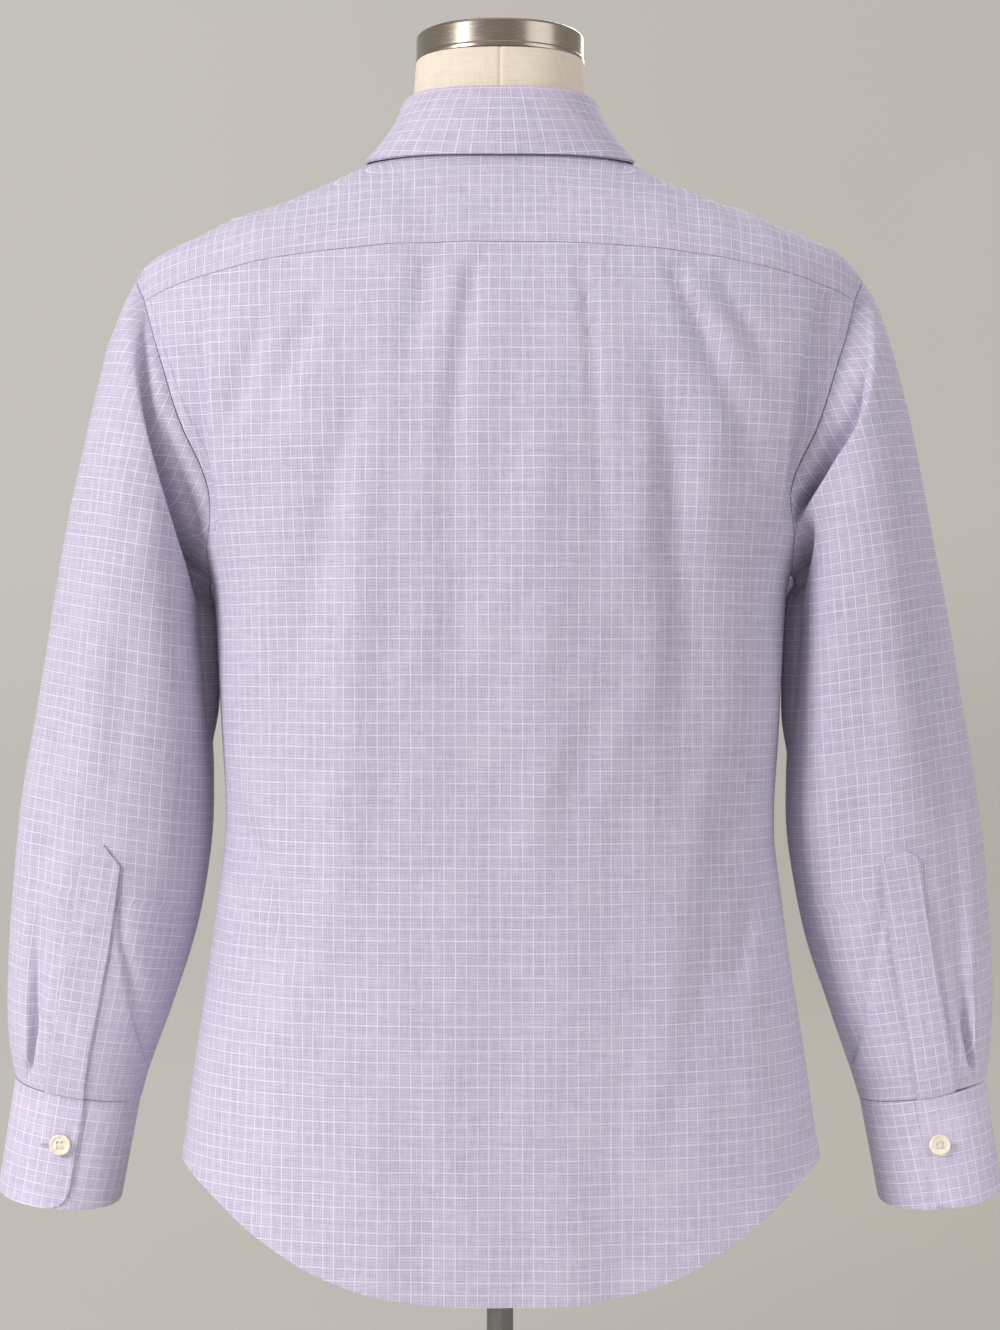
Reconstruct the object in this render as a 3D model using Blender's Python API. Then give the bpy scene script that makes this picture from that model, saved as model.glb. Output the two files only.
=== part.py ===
"""A long-sleeved dress shirt on a limbless dress form, seen as it stands on its own round base.

The wearer's front is -Y, the wearer's left is +X, up is +Z, and the origin is the centre of the base's
underside. The torso cloth lies on one surface, torso(angle, level): angle 0 is the centre back, 90 degrees
the left side and 180 degrees the centre front, and level counts the rings of the TORSO table from the hem
to the neckline. Seams are curves on that surface, so neighbouring panels share their edge points and are
drawn back from each other by half a seam gap. Each sleeve is a tube lofted from the armhole to the cuff.
"""

import math

import bmesh
import bpy
import numpy as np
from mathutils import Matrix, Vector

# ---- Driving sizes, metres ----
RISE = 0.557  # height over the floor of the shirt's own zero line, a little above the waist
CLOTH = 0.0012  # body and sleeve cloth
BAND = 0.0020  # collar and cuff, two cloths with interlining between them
SEAM = 0.0004  # gap between neighbouring pieces
TORSO_ROUND = 2.4  # exponent of the torso's rings: 2 is an ellipse, more is squarer
SLEEVE_ROUND = 2.15
LAP = math.radians(8)  # how far each front runs past the centre front, about 15 mm
LAP_STEP = 0.0010  # each lapping front's shift, outward on the left and inward on the right
STAND_STEP = 1.35 * LAP_STEP  # the same for the ends of the collar's stand, whose cloth is thicker
STAND_LIFT = 0.0006  # how far the stand's lower edge clears the neckline's cloth, beyond half a seam
CUFF_CLEAR = 0.0004  # room between the cuff's two laps, beyond a seam
BEND_CLEAR = 0.0002  # room at the armhole, beyond what its bend takes up
BUTTON_CLEAR = {"front": 0.0001, "collar": 0.0003, "cuff": 0.0002}  # each button's room off its cloth

# One row for each ring of the torso, hem first. half_width and side_z are at the side, y and z are at
# the centre back and the centre front; bow and fill shape the ring's climb from its side to its middle.
# Columns: half_width, side_z, back_y, back_z, front_y, front_z, bow, fill.
TORSO = (
    (0.2140, -0.330, 0.1210, -0.4065, 0.112, -0.392, 3.3, 1.25),
    (0.2080, -0.283, 0.1200, -0.3350, 0.111, -0.326, 3.3, 1.25),
    (0.2000, -0.228, 0.1180, -0.2560, 0.109, -0.250, 2.6, 1.12),
    (0.1897, -0.160, 0.1140, -0.1700, 0.106, -0.167, 2.2, 1.0),
    (0.1845, -0.105, 0.1115, -0.1070, 0.105, -0.106, 2.0, 1.0),
    (0.1885, -0.033, 0.1140, -0.0330, 0.108, -0.033, 2.0, 1.0),
    (0.1912, 0.030, 0.1180, 0.0320, 0.113, 0.031, 2.0, 1.0),
    (0.1960, 0.062, 0.1195, 0.0700, 0.115, 0.066, 2.0, 1.0),
    (0.2140, 0.105, 0.1200, 0.1200, 0.115, 0.110, 2.0, 1.0),
    (0.2350, 0.150, 0.1185, 0.1700, 0.112, 0.155, 2.0, 1.0),
    (0.2425, 0.195, 0.1135, 0.2200, 0.107, 0.195, 2.0, 1.0),
    (0.2440, 0.237, 0.1030, 0.2705, 0.100, 0.228, 2.0, 1.0),
    (0.2405, 0.2645, 0.0950, 0.2875, 0.095, 0.247, 2.0, 1.0),
    (0.1970, 0.2890, 0.0860, 0.3030, 0.090, 0.265, 2.0, 1.0),
    (0.1370, 0.3120, 0.0780, 0.3200, 0.084, 0.284, 2.0, 1.0),
    (0.0690, 0.3450, 0.0655, 0.3440, 0.073, 0.312, 2.0, 1.0),
)
UNDERARM, YOKE_SEAM, TIP, NECK = 7, 11, 12, 15  # levels: rows of the table
ARMHOLE_REACH = {"back": 0.53, "front": 0.54}  # widest y of the armhole over the ring's depth
ARMHOLE_LOW = 0.30  # how much lower than its middle the armhole is widest
FRONT_SEAM_LEVEL = 11.25  # where the yoke's front seam meets the armhole
FRONT_SEAM_NECK = math.radians(118)  # and where it meets the neckline

# One row for each ring of the left sleeve below the armhole: its outermost and innermost points, its half
# depth front to back, the y of its middle, and how much lower its back edge is than its middle.
# Columns: out_x, out_z, in_x, in_z, depth, mid_y, back_drop.
SLEEVE = (
    (0.2540, 0.2430, 0.2012, 0.0520, 0.0740, 0.000, 0.000),
    (0.2655, 0.2070, 0.2020, 0.0350, 0.0765, 0.000, 0.000),
    (0.2785, 0.1550, 0.2008, 0.0100, 0.0765, -0.001, 0.000),
    (0.2892, 0.1020, 0.1990, -0.0150, 0.0745, -0.002, 0.000),
    (0.2997, 0.0480, 0.1972, -0.0450, 0.0705, -0.003, 0.000),
    (0.3095, -0.0100, 0.1955, -0.0780, 0.0660, -0.004, 0.000),
    (0.3205, -0.0700, 0.1960, -0.1120, 0.0610, -0.005, 0.000),
    (0.3283, -0.1250, 0.2015, -0.1480, 0.0565, -0.006, 0.000),
    (0.3335, -0.1800, 0.2112, -0.1930, 0.0520, -0.008, 0.001),
    (0.3352, -0.2220, 0.2240, -0.2310, 0.0480, -0.010, 0.002),
    (0.3345, -0.2500, 0.2345, -0.2590, 0.0440, -0.011, 0.002),
    (0.3325, -0.2680, 0.2420, -0.2800, 0.0395, -0.012, 0.003),
    (0.3304, -0.2787, 0.2460, -0.2937, 0.0350, -0.012, 0.003),
)
CUFF = (
    (0.3304, -0.2795, 0.2450, -0.2945, 0.0350, -0.012, 0.003),
    (0.3362, -0.3165, 0.2515, -0.3290, 0.0350, -0.012, 0.0045),
    (0.3420, -0.3540, 0.2580, -0.3635, 0.0350, -0.012, 0.006),
)
PLACKET_EDGE = math.radians(78)  # angle round the sleeve of the placket's free edge
PLACKET_WIDTH = 0.026
PLACKET_TOP = 7.86  # sleeve ring where the placket's sides end and its point begins
PLACKET_POINT = 0.27  # how many rings its point rises
UNDERLAP = math.radians(40)  # how far the cuff's inner end runs under its outer end
CUFF_CORNER = 0.015
CUFF_BUTTON_ANGLE = math.radians(92)
CUFF_BUTTON_ROW = 0.85  # how far down the rows of CUFF

# The deepest folds of a sleeve: from (ring, angle) to (ring, angle), angles in degrees, with the half
# width in degrees and the depth in metres at each end. The pleat and the placket's step reach the cuff.
# Columns: from_ring, from_angle, from_depth, to_ring, to_angle, to_depth, half_width.
SLEEVE_FOLDS = (
    (1.0, 118.0, 0.003, 6.5, 36.0, 0.006, 13.0),
    (7.5, 136.0, 0.001, 13.0, 136.0, 0.006, 9.0),
    (8.6, 64.0, 0.000, 13.0, 66.0, 0.003, 12.0),
)

COLLAR_TOP = dict(
    half_width=0.0605, side_z=0.3755, back_y=0.0625, back_z=0.3742, front_y=0.0650, front_z=0.3420
)
# The fold's rows, as (lift, outward) off the stand's top
FOLD_ROLL = ((0.0018, 0.0), (0.0036, 0.0016), (0.0026, 0.0046))
STAND_LAP = math.radians(12)
LEAF_END = math.radians(172)  # where each end of the leaf's fold stops, near the centre front
LEAF_BOW = {"back": 0.003, "side": -0.004}  # how far the leaf stands off a straight line, fold to edge
# The leaf's free edge: how far round the leaf (0 centre back, 1 the point), then the torso angle in
# degrees, the level it lies over and its height off the cloth there.
# Columns: round, angle, level, clearance.
LEAF_EDGE = (
    (0.00, 0.0, 14.44, 0.0080),
    (0.28, 45.0, 14.52, 0.0050),
    (0.55, 88.0, 14.72, 0.0026),
    (0.80, 128.0, 14.40, 0.0040),
    (1.00, 155.0, 13.45, 0.0050),
)

BUTTON = dict(across=0.0115, thick=0.0024)
CUFF_BUTTON = dict(across=0.0146, thick=0.0028)
FRONT_BUTTONS = 7
FRONT_BUTTON_TOP, FRONT_BUTTON_PITCH = 0.262, 0.088  # height of the highest one and the step down

# The dress form: rings as in TORSO, then the neck, its cap, the pole and the base.
FORM = (
    (0.150, -0.285, 0.0800, -0.285, 0.078, -0.285, 2.0, 1.0),
    (0.160, -0.265, 0.0860, -0.265, 0.084, -0.265, 2.0, 1.0),
    (0.162, -0.200, 0.0880, -0.200, 0.086, -0.200, 2.0, 1.0),
    (0.150, -0.105, 0.0820, -0.105, 0.082, -0.105, 2.0, 1.0),
    (0.158, -0.020, 0.0880, -0.020, 0.088, -0.020, 2.0, 1.0),
    (0.170, 0.070, 0.1000, 0.070, 0.096, 0.070, 2.0, 1.0),
    (0.181, 0.140, 0.1030, 0.150, 0.094, 0.140, 2.0, 1.0),
    (0.190, 0.190, 0.0980, 0.205, 0.088, 0.180, 2.0, 1.0),
    (0.194, 0.225, 0.0880, 0.250, 0.080, 0.210, 2.0, 1.0),
    (0.186, 0.255, 0.0760, 0.280, 0.074, 0.235, 2.0, 1.0),
    (0.152, 0.284, 0.0670, 0.301, 0.068, 0.262, 2.0, 1.0),
    (0.105, 0.306, 0.0600, 0.319, 0.063, 0.288, 2.0, 1.0),
    (0.072, 0.325, 0.0560, 0.335, 0.059, 0.312, 2.0, 1.0),
    (0.0585, 0.352, 0.0560, 0.352, 0.0570, 0.340, 2.0, 1.0),
    (0.0587, 0.380, 0.0587, 0.380, 0.0583, 0.378, 2.0, 1.0),
    (0.0570, 0.4065, 0.0570, 0.4065, 0.0570, 0.4065, 2.0, 1.0),
)
CAP_RADIUS, CAP_FOOT, CAP_TOP, CAP_EDGE = 0.0572, 0.4070, 0.4265, 0.0020
POLE_RADIUS, POLE_FLANGE_RADIUS, POLE_FLANGE = 0.009, 0.026, 0.006
BASE_RADIUS, BASE_THICK, BASE_EDGE = 0.140, 0.011, 0.003

COLOURS = {
    "cloth": ((0.60, 0.53, 0.68), 0.85, 0.0),
    "button": ((0.80, 0.76, 0.66), 0.35, 0.0),
    "linen": ((0.80, 0.74, 0.65), 0.90, 0.0),
    "nickel": ((0.62, 0.59, 0.55), 0.32, 1.0),
    "steel": ((0.30, 0.29, 0.28), 0.45, 1.0),
}


# ---- Shared geometry ----
def smooth_rows(table, places):
    """Reads a table between its rows with a Catmull-Rom spline: places are row numbers, whole or not."""
    rows = np.asarray(table, float)
    rows = np.concatenate([2 * rows[:1] - rows[1:2], rows, 2 * rows[-1:] - rows[-2:-1]])
    places = np.asarray(places, float)
    first = np.clip(places.astype(int), 0, len(rows) - 4)
    step = (places - first).reshape(places.shape + (1,) * (rows.ndim - 1))
    before, here, after, beyond = (rows[first + k] for k in range(4))
    return 0.5 * (
        2 * here
        + (after - before) * step
        + (2 * before - 5 * here + 4 * after - beyond) * step**2
        + (3 * here - before - 3 * after + beyond) * step**3
    )


def ring(angle, half_width, side_z, back_y, back_z, front_y, front_z, bow, fill):
    """A squarish ring: each side is half_width away, and from its side to its middle the height goes from
    side_z to back_z or front_z as 1 - (1 - |cos|^bow)^fill."""
    across, along = np.sin(angle), np.cos(angle)
    reach = (np.abs(across) ** TORSO_ROUND + np.abs(along) ** TORSO_ROUND) ** (-1 / TORSO_ROUND)
    across, along = across * reach, along * reach
    is_back = along > 0
    y = np.where(is_back, back_y, front_y) * along
    climb = 1 - np.clip(1 - np.abs(along) ** bow, 0, 1) ** fill
    z = side_z + (np.where(is_back, back_z, front_z) - side_z) * climb
    return np.stack(np.broadcast_arrays(half_width * across, y, z + RISE), axis=-1)


def torso(angle, level):
    columns = np.moveaxis(smooth_rows(TORSO, level), -1, 0)
    return ring(angle, *columns)


def torso_normal(angle, level, step=1e-4):
    """The outward unit normal of the torso's surface, by small steps each way."""
    inside = np.clip(level, step, NECK - step)
    round_step = torso(angle + step, inside) - torso(angle - step, inside)
    up_step = torso(angle, inside + step) - torso(angle, inside - step)
    normal = np.cross(round_step, up_step)
    normal = -normal / np.linalg.norm(normal, axis=-1, keepdims=True)
    return normal


def armhole(turn):
    """(angle, level) of the left armhole: turn 0 is the underarm, a quarter the back, a half the tip."""
    reach = np.where(np.sin(turn) > 0, ARMHOLE_REACH["back"], ARMHOLE_REACH["front"])
    along = reach * np.sin(turn) * (1 + ARMHOLE_LOW * np.cos(turn))
    across = (1 - np.abs(along) ** TORSO_ROUND) ** (1 / TORSO_ROUND)
    middle, half = (UNDERARM + TIP) / 2, (TIP - UNDERARM) / 2
    return np.arctan2(across, along), middle - half * np.cos(turn)


def turn_at(level):
    """How far up the armhole is at this level, as a turn between 0 and half."""
    middle, half = (UNDERARM + TIP) / 2, (TIP - UNDERARM) / 2
    return math.acos((middle - level) / half)


def spread(start, end, count):
    return np.linspace(start, end, count + 1)


def join(*parts):
    """Joins point lists end to end, leaving out each repeated joint."""
    return np.concatenate([parts[0]] + [part[1:] for part in parts[1:]])


def along_edges(low, high, left, right, climb=None):
    """A Coons patch: the grid of points whose four edges are given, rows from low to high. climb says how
    much each row takes after the high edge, 0 to 1, and is even if it isn't given."""
    u = np.linspace(0, 1, len(low))[None, :, None]
    v = (np.linspace(0, 1, len(left)) if climb is None else climb)[:, None, None]
    corners = (
        (1 - u) * (1 - v) * low[0] + u * (1 - v) * low[-1] + (1 - u) * v * high[0] + u * v * high[-1]
    )
    return (1 - v) * low[None] + v * high[None] + (1 - u) * left[:, None] + u * right[:, None] - corners


def grid_normals(points, closed=False):
    """Unit normals of a grid of points, rows by columns; closed joins its last column to its first."""
    if closed:
        points = np.concatenate([points[:, -1:], points, points[:, :1]], axis=1)
    normals = np.cross(np.gradient(points, axis=1), np.gradient(points, axis=0))
    normals /= np.linalg.norm(normals, axis=-1, keepdims=True)
    return normals[:, 1:-1] if closed else normals


def draw_back(points, gaps):
    """Moves the grid's edges inward by the gaps given for its low, high, left and right edges."""
    moved = points.copy()
    for name, (edge, inner) in dict(low=(0, 1), high=(-1, -2)).items():
        step = points[inner] - points[edge]
        step /= np.linalg.norm(step, axis=-1, keepdims=True)
        moved[edge] += step * np.reshape(gaps.get(name, 0), (-1, 1))
    for name, (edge, inner) in dict(left=(0, 1), right=(-1, -2)).items():
        step = points[:, inner] - points[:, edge]
        step /= np.linalg.norm(step, axis=-1, keepdims=True)
        moved[:, edge] += step * np.reshape(gaps.get(name, 0), (-1, 1))
    return moved


def fold_depth(ring_number, angle):
    """Depth of the sleeve's folds at each ring number and angle: soft troughs along sloping lines."""
    total = np.zeros(np.broadcast(ring_number, angle).shape)
    for from_ring, from_angle, from_depth, to_ring, to_angle, to_depth, half_width in SLEEVE_FOLDS:
        part = np.clip((ring_number - from_ring) / (to_ring - from_ring), 0, 1)
        centre = np.radians(from_angle + (to_angle - from_angle) * part)
        depth = from_depth + (to_depth - from_depth) * part
        end = 1.0 if to_ring > 12 else np.clip((to_ring + 1 - ring_number) / 1.0, 0, 1)
        start = np.clip(ring_number - from_ring + 1, 0, 1)
        off = (angle - centre + np.pi) % (2 * np.pi) - np.pi
        total += depth * start * end * np.exp(-((off / math.radians(half_width)) ** 2))
    return total


def tube_ring(turn, out_x, out_z, in_x, in_z, depth, mid_y, back_drop):
    """A slanted ring through its innermost point (turn 0) and its outermost point (half a turn)."""
    along, across = np.cos(turn), np.sin(turn)
    reach = (np.abs(along) ** SLEEVE_ROUND + np.abs(across) ** SLEEVE_ROUND) ** (-1 / SLEEVE_ROUND)
    along, across = along * reach, across * reach
    x = (out_x + in_x) / 2 - (out_x - in_x) / 2 * along
    z = (out_z + in_z) / 2 - (out_z - in_z) / 2 * along - back_drop * across
    return np.stack([x, mid_y + depth * across, z + RISE], axis=-1)


def sleeve(turn, rings):
    """The left sleeve's middle surface: ring 0 is the armhole, and the last is the cuff's top."""
    seam = torso(*armhole(turn))
    outlines = np.stack([seam] + [tube_ring(turn, *row) for row in SLEEVE])
    return smooth_rows(outlines, rings)


# ---- Making objects ----
def material(name):
    made = bpy.data.materials.get(name)
    if made is None:
        colour, roughness, metallic = COLOURS[name]
        made = bpy.data.materials.new(name)
        made.use_nodes = True
        shader = made.node_tree.nodes["Principled BSDF"]
        shader.inputs["Base Color"].default_value = (*colour, 1)
        shader.inputs["Roughness"].default_value = roughness
        shader.inputs["Metallic"].default_value = metallic
    return made


def new_object(name, points, faces, look):
    """A smooth-shaded mesh object in the scene, its faces turned outward."""
    mesh = bpy.data.meshes.new(name)
    mesh.from_pydata([tuple(point) for point in points], [], faces)
    shell = bmesh.new()
    shell.from_mesh(mesh)
    bmesh.ops.recalc_face_normals(shell, faces=shell.faces)
    shell.to_mesh(mesh)
    shell.free()
    mesh.shade_smooth()
    mesh.set_sharp_from_angle(angle=math.radians(40))
    mesh.materials.append(material(look))
    made = bpy.data.objects.new(name, mesh)
    bpy.context.scene.collection.objects.link(made)
    return made


def wall(name, points, thickness, look="cloth", closed=False, normals=None):
    """A cloth wall: the grid moved out and in by half its thickness, with its edges closed."""
    rows, columns = points.shape[:2]
    if normals is None:
        normals = grid_normals(points, closed)
    half = normals * thickness / 2
    every = np.concatenate([(points + half).reshape(-1, 3), (points - half).reshape(-1, 3)])
    number = np.arange(rows * columns).reshape(rows, columns)
    if closed:
        number = np.concatenate([number, number[:, :1]], axis=1)
    corners = (number[:-1, :-1], number[:-1, 1:], number[1:, 1:], number[1:, :-1])
    outer = np.stack([corner.ravel() for corner in corners], axis=1)
    faces = [outer, outer[:, ::-1] + rows * columns]
    rims = [number[0], number[-1, ::-1]]
    if not closed:
        rims += [number[::-1, 0], number[:, -1]]
    for rim in rims:
        inner = rim + rows * columns
        faces.append(np.stack([rim[1:], rim[:-1], inner[:-1], inner[1:]], axis=1))
    return new_object(name, every, np.concatenate(faces).tolist(), look)


def mirrored(points):
    return points * np.array([-1.0, 1.0, 1.0])


def turned(name, outline, look, sides):
    """A solid turned about Z from (radius, height) points that start and end on the axis."""
    angle = np.arange(sides) * 2 * math.pi / sides
    points = [(0, 0, outline[0][1])]
    for radius, height in outline[1:-1]:
        points += [(radius * math.cos(a), radius * math.sin(a), height) for a in angle]
    points.append((0, 0, outline[-1][1]))
    last = len(points) - 1
    faces = []
    for k in range(sides):
        after = (k + 1) % sides
        faces.append((0, 1 + after, 1 + k))
        for row in range(len(outline) - 3):
            low, high = 1 + row * sides, 1 + (row + 1) * sides
            faces.append((low + k, low + after, high + after, high + k))
        top = 1 + (len(outline) - 3) * sides
        faces.append((last, top + k, top + after))
    return new_object(name, points, faces, look)


# ---- Seam lines, as lists of (angle, level) ----
SIDE_STEPS, ARMHOLE_STEPS, YOKE_ARM_STEPS, BACK_STEPS, SEAM_STEPS, NECK_STEPS = 10, 6, 3, 20, 5, 6
BACK_TURN = turn_at(YOKE_SEAM)
FRONT_TURN = 2 * math.pi - turn_at(FRONT_SEAM_LEVEL)


def pairs(angle, level):
    return np.stack(np.broadcast_arrays(angle, level), axis=-1).astype(float)


def side_seam():
    return pairs(math.pi / 2, spread(0, UNDERARM, SIDE_STEPS))


def armhole_line(start, end, steps):
    return np.stack(armhole(spread(start, end, steps)), axis=-1)


def back_armhole():
    return armhole_line(0, BACK_TURN, ARMHOLE_STEPS)


def front_armhole():
    return armhole_line(2 * math.pi, FRONT_TURN, ARMHOLE_STEPS)


def yoke_armhole():
    """From the front seam over the shoulder's tip to the back seam."""
    return join(
        armhole_line(FRONT_TURN, math.pi, YOKE_ARM_STEPS), armhole_line(math.pi, BACK_TURN, YOKE_ARM_STEPS)
    )


def across(line):
    """The same line on the wearer's other side."""
    return line * np.array([-1.0, 1.0])


def yoke_back_seam():
    end = back_armhole()[-1, 0]
    return pairs(spread(end, -end, BACK_STEPS), YOKE_SEAM)


def front_seam():
    """From the armhole up to the neckline."""
    low = front_armhole()[-1]
    return np.linspace(low, (FRONT_SEAM_NECK, NECK), SEAM_STEPS + 1)


def armhole_bend(turn):
    """At each turn of the armhole, the gap that keeps the two cloths apart where the sleeve bends off the
    panel, the direction back over the panel, and the direction out along the sleeve."""
    place, normal = torso(*armhole(turn)), torso_normal(*armhole(turn))
    ahead = torso(*armhole(turn + 0.01)) - torso(*armhole(turn - 0.01))
    every = torso(*armhole(np.linspace(0, 2 * math.pi, 24, endpoint=False)))
    back = np.cross(normal, ahead)
    back /= np.linalg.norm(back, axis=-1, keepdims=True)
    back *= np.sign((back * (place - every.mean(axis=0))).sum(axis=-1, keepdims=True))
    out = sleeve(turn, np.array([0.5]))[0] - place
    out /= np.linalg.norm(out, axis=-1, keepdims=True)
    half_bend = np.arccos(np.clip(-(back * out).sum(axis=-1), -1, 1)) / 2
    gap = SEAM / 2 + CLOTH / 2 * np.tan(np.minimum(half_bend, 1.2)) + BEND_CLEAR
    return gap[:, None], back, out


def off_armhole(turn):
    """How far each armhole point of a panel moves back over the panel."""
    gap, back, _ = armhole_bend(turn)
    return gap * back


# ---- The pieces that are sewn ----
def side_gaps():
    """Half a seam gap up the side seam, and none on the armhole, which moves back by off_armhole."""
    return np.concatenate([np.full(SIDE_STEPS + 1, SEAM / 2), np.zeros(ARMHOLE_STEPS)])


def make_back():
    left = join(side_seam(), back_armhole())
    edge_gap = side_gaps()
    fraction = np.linspace(1, -1, BACK_STEPS + 1)
    angle, level = left[:, :1] * fraction, np.repeat(left[:, 1:], BACK_STEPS + 1, axis=1)
    points = draw_back(torso(angle, level), dict(high=SEAM / 2, left=edge_gap, right=edge_gap))
    shift = off_armhole(spread(0, BACK_TURN, ARMHOLE_STEPS))
    points[SIDE_STEPS:, 0] += shift
    points[SIDE_STEPS:, -1] += mirrored(shift)
    wall("back", points, CLOTH, normals=torso_normal(angle, level))


def front_patch():
    outer = join(side_seam(), front_armhole())
    end = math.pi + LAP
    high = join(front_seam(), pairs(spread(FRONT_SEAM_NECK, end, NECK_STEPS), NECK))
    low = pairs(spread(math.pi / 2, end, SEAM_STEPS + NECK_STEPS), 0)
    climb = np.clip((outer[:, 1] - UNDERARM) / (FRONT_SEAM_LEVEL - UNDERARM), 0, 1) ** 1.6
    centre = pairs(end, outer[:, 1] + (NECK - FRONT_SEAM_LEVEL) * climb)
    return along_edges(low, high, outer, centre, climb)


def lapping(angle):
    """0 to 1 over the last stretch towards the centre front, where one front lies on the other."""
    part = np.clip((np.abs(angle) - math.radians(150)) / math.radians(18), 0, 1)
    return part * part * (3 - 2 * part)


def make_front(name, side):
    """side is 1 for the left front, which lies on top, and -1 for the right."""
    patch = front_patch()
    angle, level = patch[..., 0], patch[..., 1]
    normals = torso_normal(angle, level)
    points = torso(angle, level) + normals * (side * LAP_STEP * lapping(angle))[..., None]
    points = draw_back(points, dict(high=SEAM / 2, left=side_gaps()))
    points[SIDE_STEPS:, 0] += off_armhole(spread(2 * math.pi, FRONT_TURN, ARMHOLE_STEPS))
    if side < 0:
        points, normals = mirrored(points), mirrored(normals)
    wall(name, points, CLOTH, normals=normals)


def yoke_patch():
    arm = yoke_armhole()
    high = join(arm, yoke_back_seam(), across(arm[::-1]))
    low = pairs(np.linspace(FRONT_SEAM_NECK, -FRONT_SEAM_NECK, len(high)), NECK)
    left = front_seam()[::-1]
    return along_edges(low, high, left, across(left))


def make_yoke():
    patch = yoke_patch()
    angle, level = patch[..., 0], patch[..., 1]
    arm_turns = join(spread(FRONT_TURN, math.pi, YOKE_ARM_STEPS), spread(math.pi, BACK_TURN, YOKE_ARM_STEPS))
    on_arm = len(arm_turns) - 1
    outer_gap = np.concatenate([np.zeros(on_arm), np.full(BACK_STEPS + 1, SEAM / 2), np.zeros(on_arm)])
    points = draw_back(torso(angle, level), dict(low=SEAM / 2, high=outer_gap, left=SEAM / 2, right=SEAM / 2))
    shift = off_armhole(arm_turns)
    points[-1, : on_arm + 1] += shift
    points[-1, -on_arm - 1 :] += mirrored(shift)[::-1]
    wall("yoke", points, CLOTH, normals=torso_normal(angle, level))


def sleeve_turns():
    """The armhole's own points, once round, so that the sleeve's head follows the panels' edges."""
    back = join(spread(0, BACK_TURN, ARMHOLE_STEPS), spread(BACK_TURN, math.pi, YOKE_ARM_STEPS))
    front = join(spread(math.pi, FRONT_TURN, YOKE_ARM_STEPS), spread(FRONT_TURN, 2 * math.pi, ARMHOLE_STEPS))
    return join(back, front)[:-1]


SLEEVE_RINGS = (0, 0.5, 1, 2, 3, 4.5, 6, 7, 8, 9, 10, 11, 12, 13)


def sleeve_points(turn, rings):
    points = sleeve(turn, rings)
    depth = fold_depth(np.asarray(rings, float)[:, None], turn[None])
    return points - grid_normals(points, closed=True) * depth[..., None]


def make_sleeve(name, side):
    turn = sleeve_turns()
    points = sleeve_points(turn, SLEEVE_RINGS)
    gap, _, out = armhole_bend(turn)
    points = draw_back(points, dict(high=SEAM))
    points[0] += gap * out
    wall(name, mirrored(points) if side < 0 else points, CLOTH, closed=True)


def make_placket(name, side):
    """A strip with a pointed top on the sleeve's back, from the cuff up, its free edge at PLACKET_EDGE."""
    steps = 4
    rings = np.array([13, 12, 11, 10, 9, PLACKET_TOP])
    strip = []
    for part in spread(0, 1, steps):
        point = PLACKET_POINT * (1 - abs(2 * part - 1))
        own = np.concatenate([rings[:-1], [PLACKET_TOP - point]])
        probe = sleeve(np.array([PLACKET_EDGE, PLACKET_EDGE + 0.1]), own)
        per_radian = np.linalg.norm(probe[:, 1] - probe[:, 0], axis=-1) / 0.1
        turn = PLACKET_EDGE + part * PLACKET_WIDTH / per_radian
        wide = sleeve(turn, own)
        strip.append(np.stack([wide[k, k] for k in range(len(own))]))
    points = np.stack(strip, axis=1)
    points = points + outward_of(points) * (CLOTH + SEAM)
    points = draw_back(points, dict(low=SEAM))
    wall(name, mirrored(points) if side < 0 else points, CLOTH)


def outward_of(points):
    """Grid normals, turned to face away from the body's middle line at the back."""
    normals = grid_normals(points)
    return normals * np.sign(normals[..., 1:2].mean())


def make_cuff(name, side):
    """A band that spirals outward: its inner end runs under the outer end, which has a round corner."""
    start, end = PLACKET_EDGE + UNDERLAP, PLACKET_EDGE - 2 * math.pi
    corner_turns = np.radians((0, 4, 9, 16, 24))
    turn = join(spread(start, end + corner_turns[-1], 20), end + corner_turns[::-1])
    rings = smooth_rows(np.stack([tube_ring(turn, *row) for row in CUFF]), np.array([0, 1, 2.0]))
    progress = (start - turn) / (start - end)
    inward = (BAND + SEAM + CUFF_CLEAR) * (1 - progress)
    points = rings - grid_normals(rings) * turned_out(rings) * inward[None, :, None]
    height = np.linalg.norm(points[-1] - points[0], axis=-1)
    reach = np.linalg.norm(points[-1] - points[-1, -1], axis=-1)
    near = np.clip(CUFF_CORNER - reach, 0, CUFF_CORNER) * (progress > 0.5)
    raised = CUFF_CORNER - np.sqrt(CUFF_CORNER**2 - near**2)
    scale = (height - raised) / height
    points = points[:1] + (points - points[:1]) * scale[None, :, None]
    points = draw_back(points, dict(low=SEAM / 2))
    wall(name, mirrored(points) if side < 0 else points, BAND)


def turned_out(points):
    """1 or -1: the sign that makes a tube grid's normals face away from its own middle."""
    middle = points.mean(axis=(0, 1))
    normals = grid_normals(points)
    return np.sign(((points - middle) * normals).sum(axis=-1).mean())


def collar_ring(angle, lift, outward):
    """The stand's top line, raised by lift and widened by outward."""
    top = COLLAR_TOP
    return ring(
        angle,
        top["half_width"] + outward,
        top["side_z"] + lift,
        top["back_y"] + outward,
        top["back_z"] + lift,
        top["front_y"] + outward,
        top["front_z"] + lift,
        2.0,
        1.0,
    )


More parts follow.
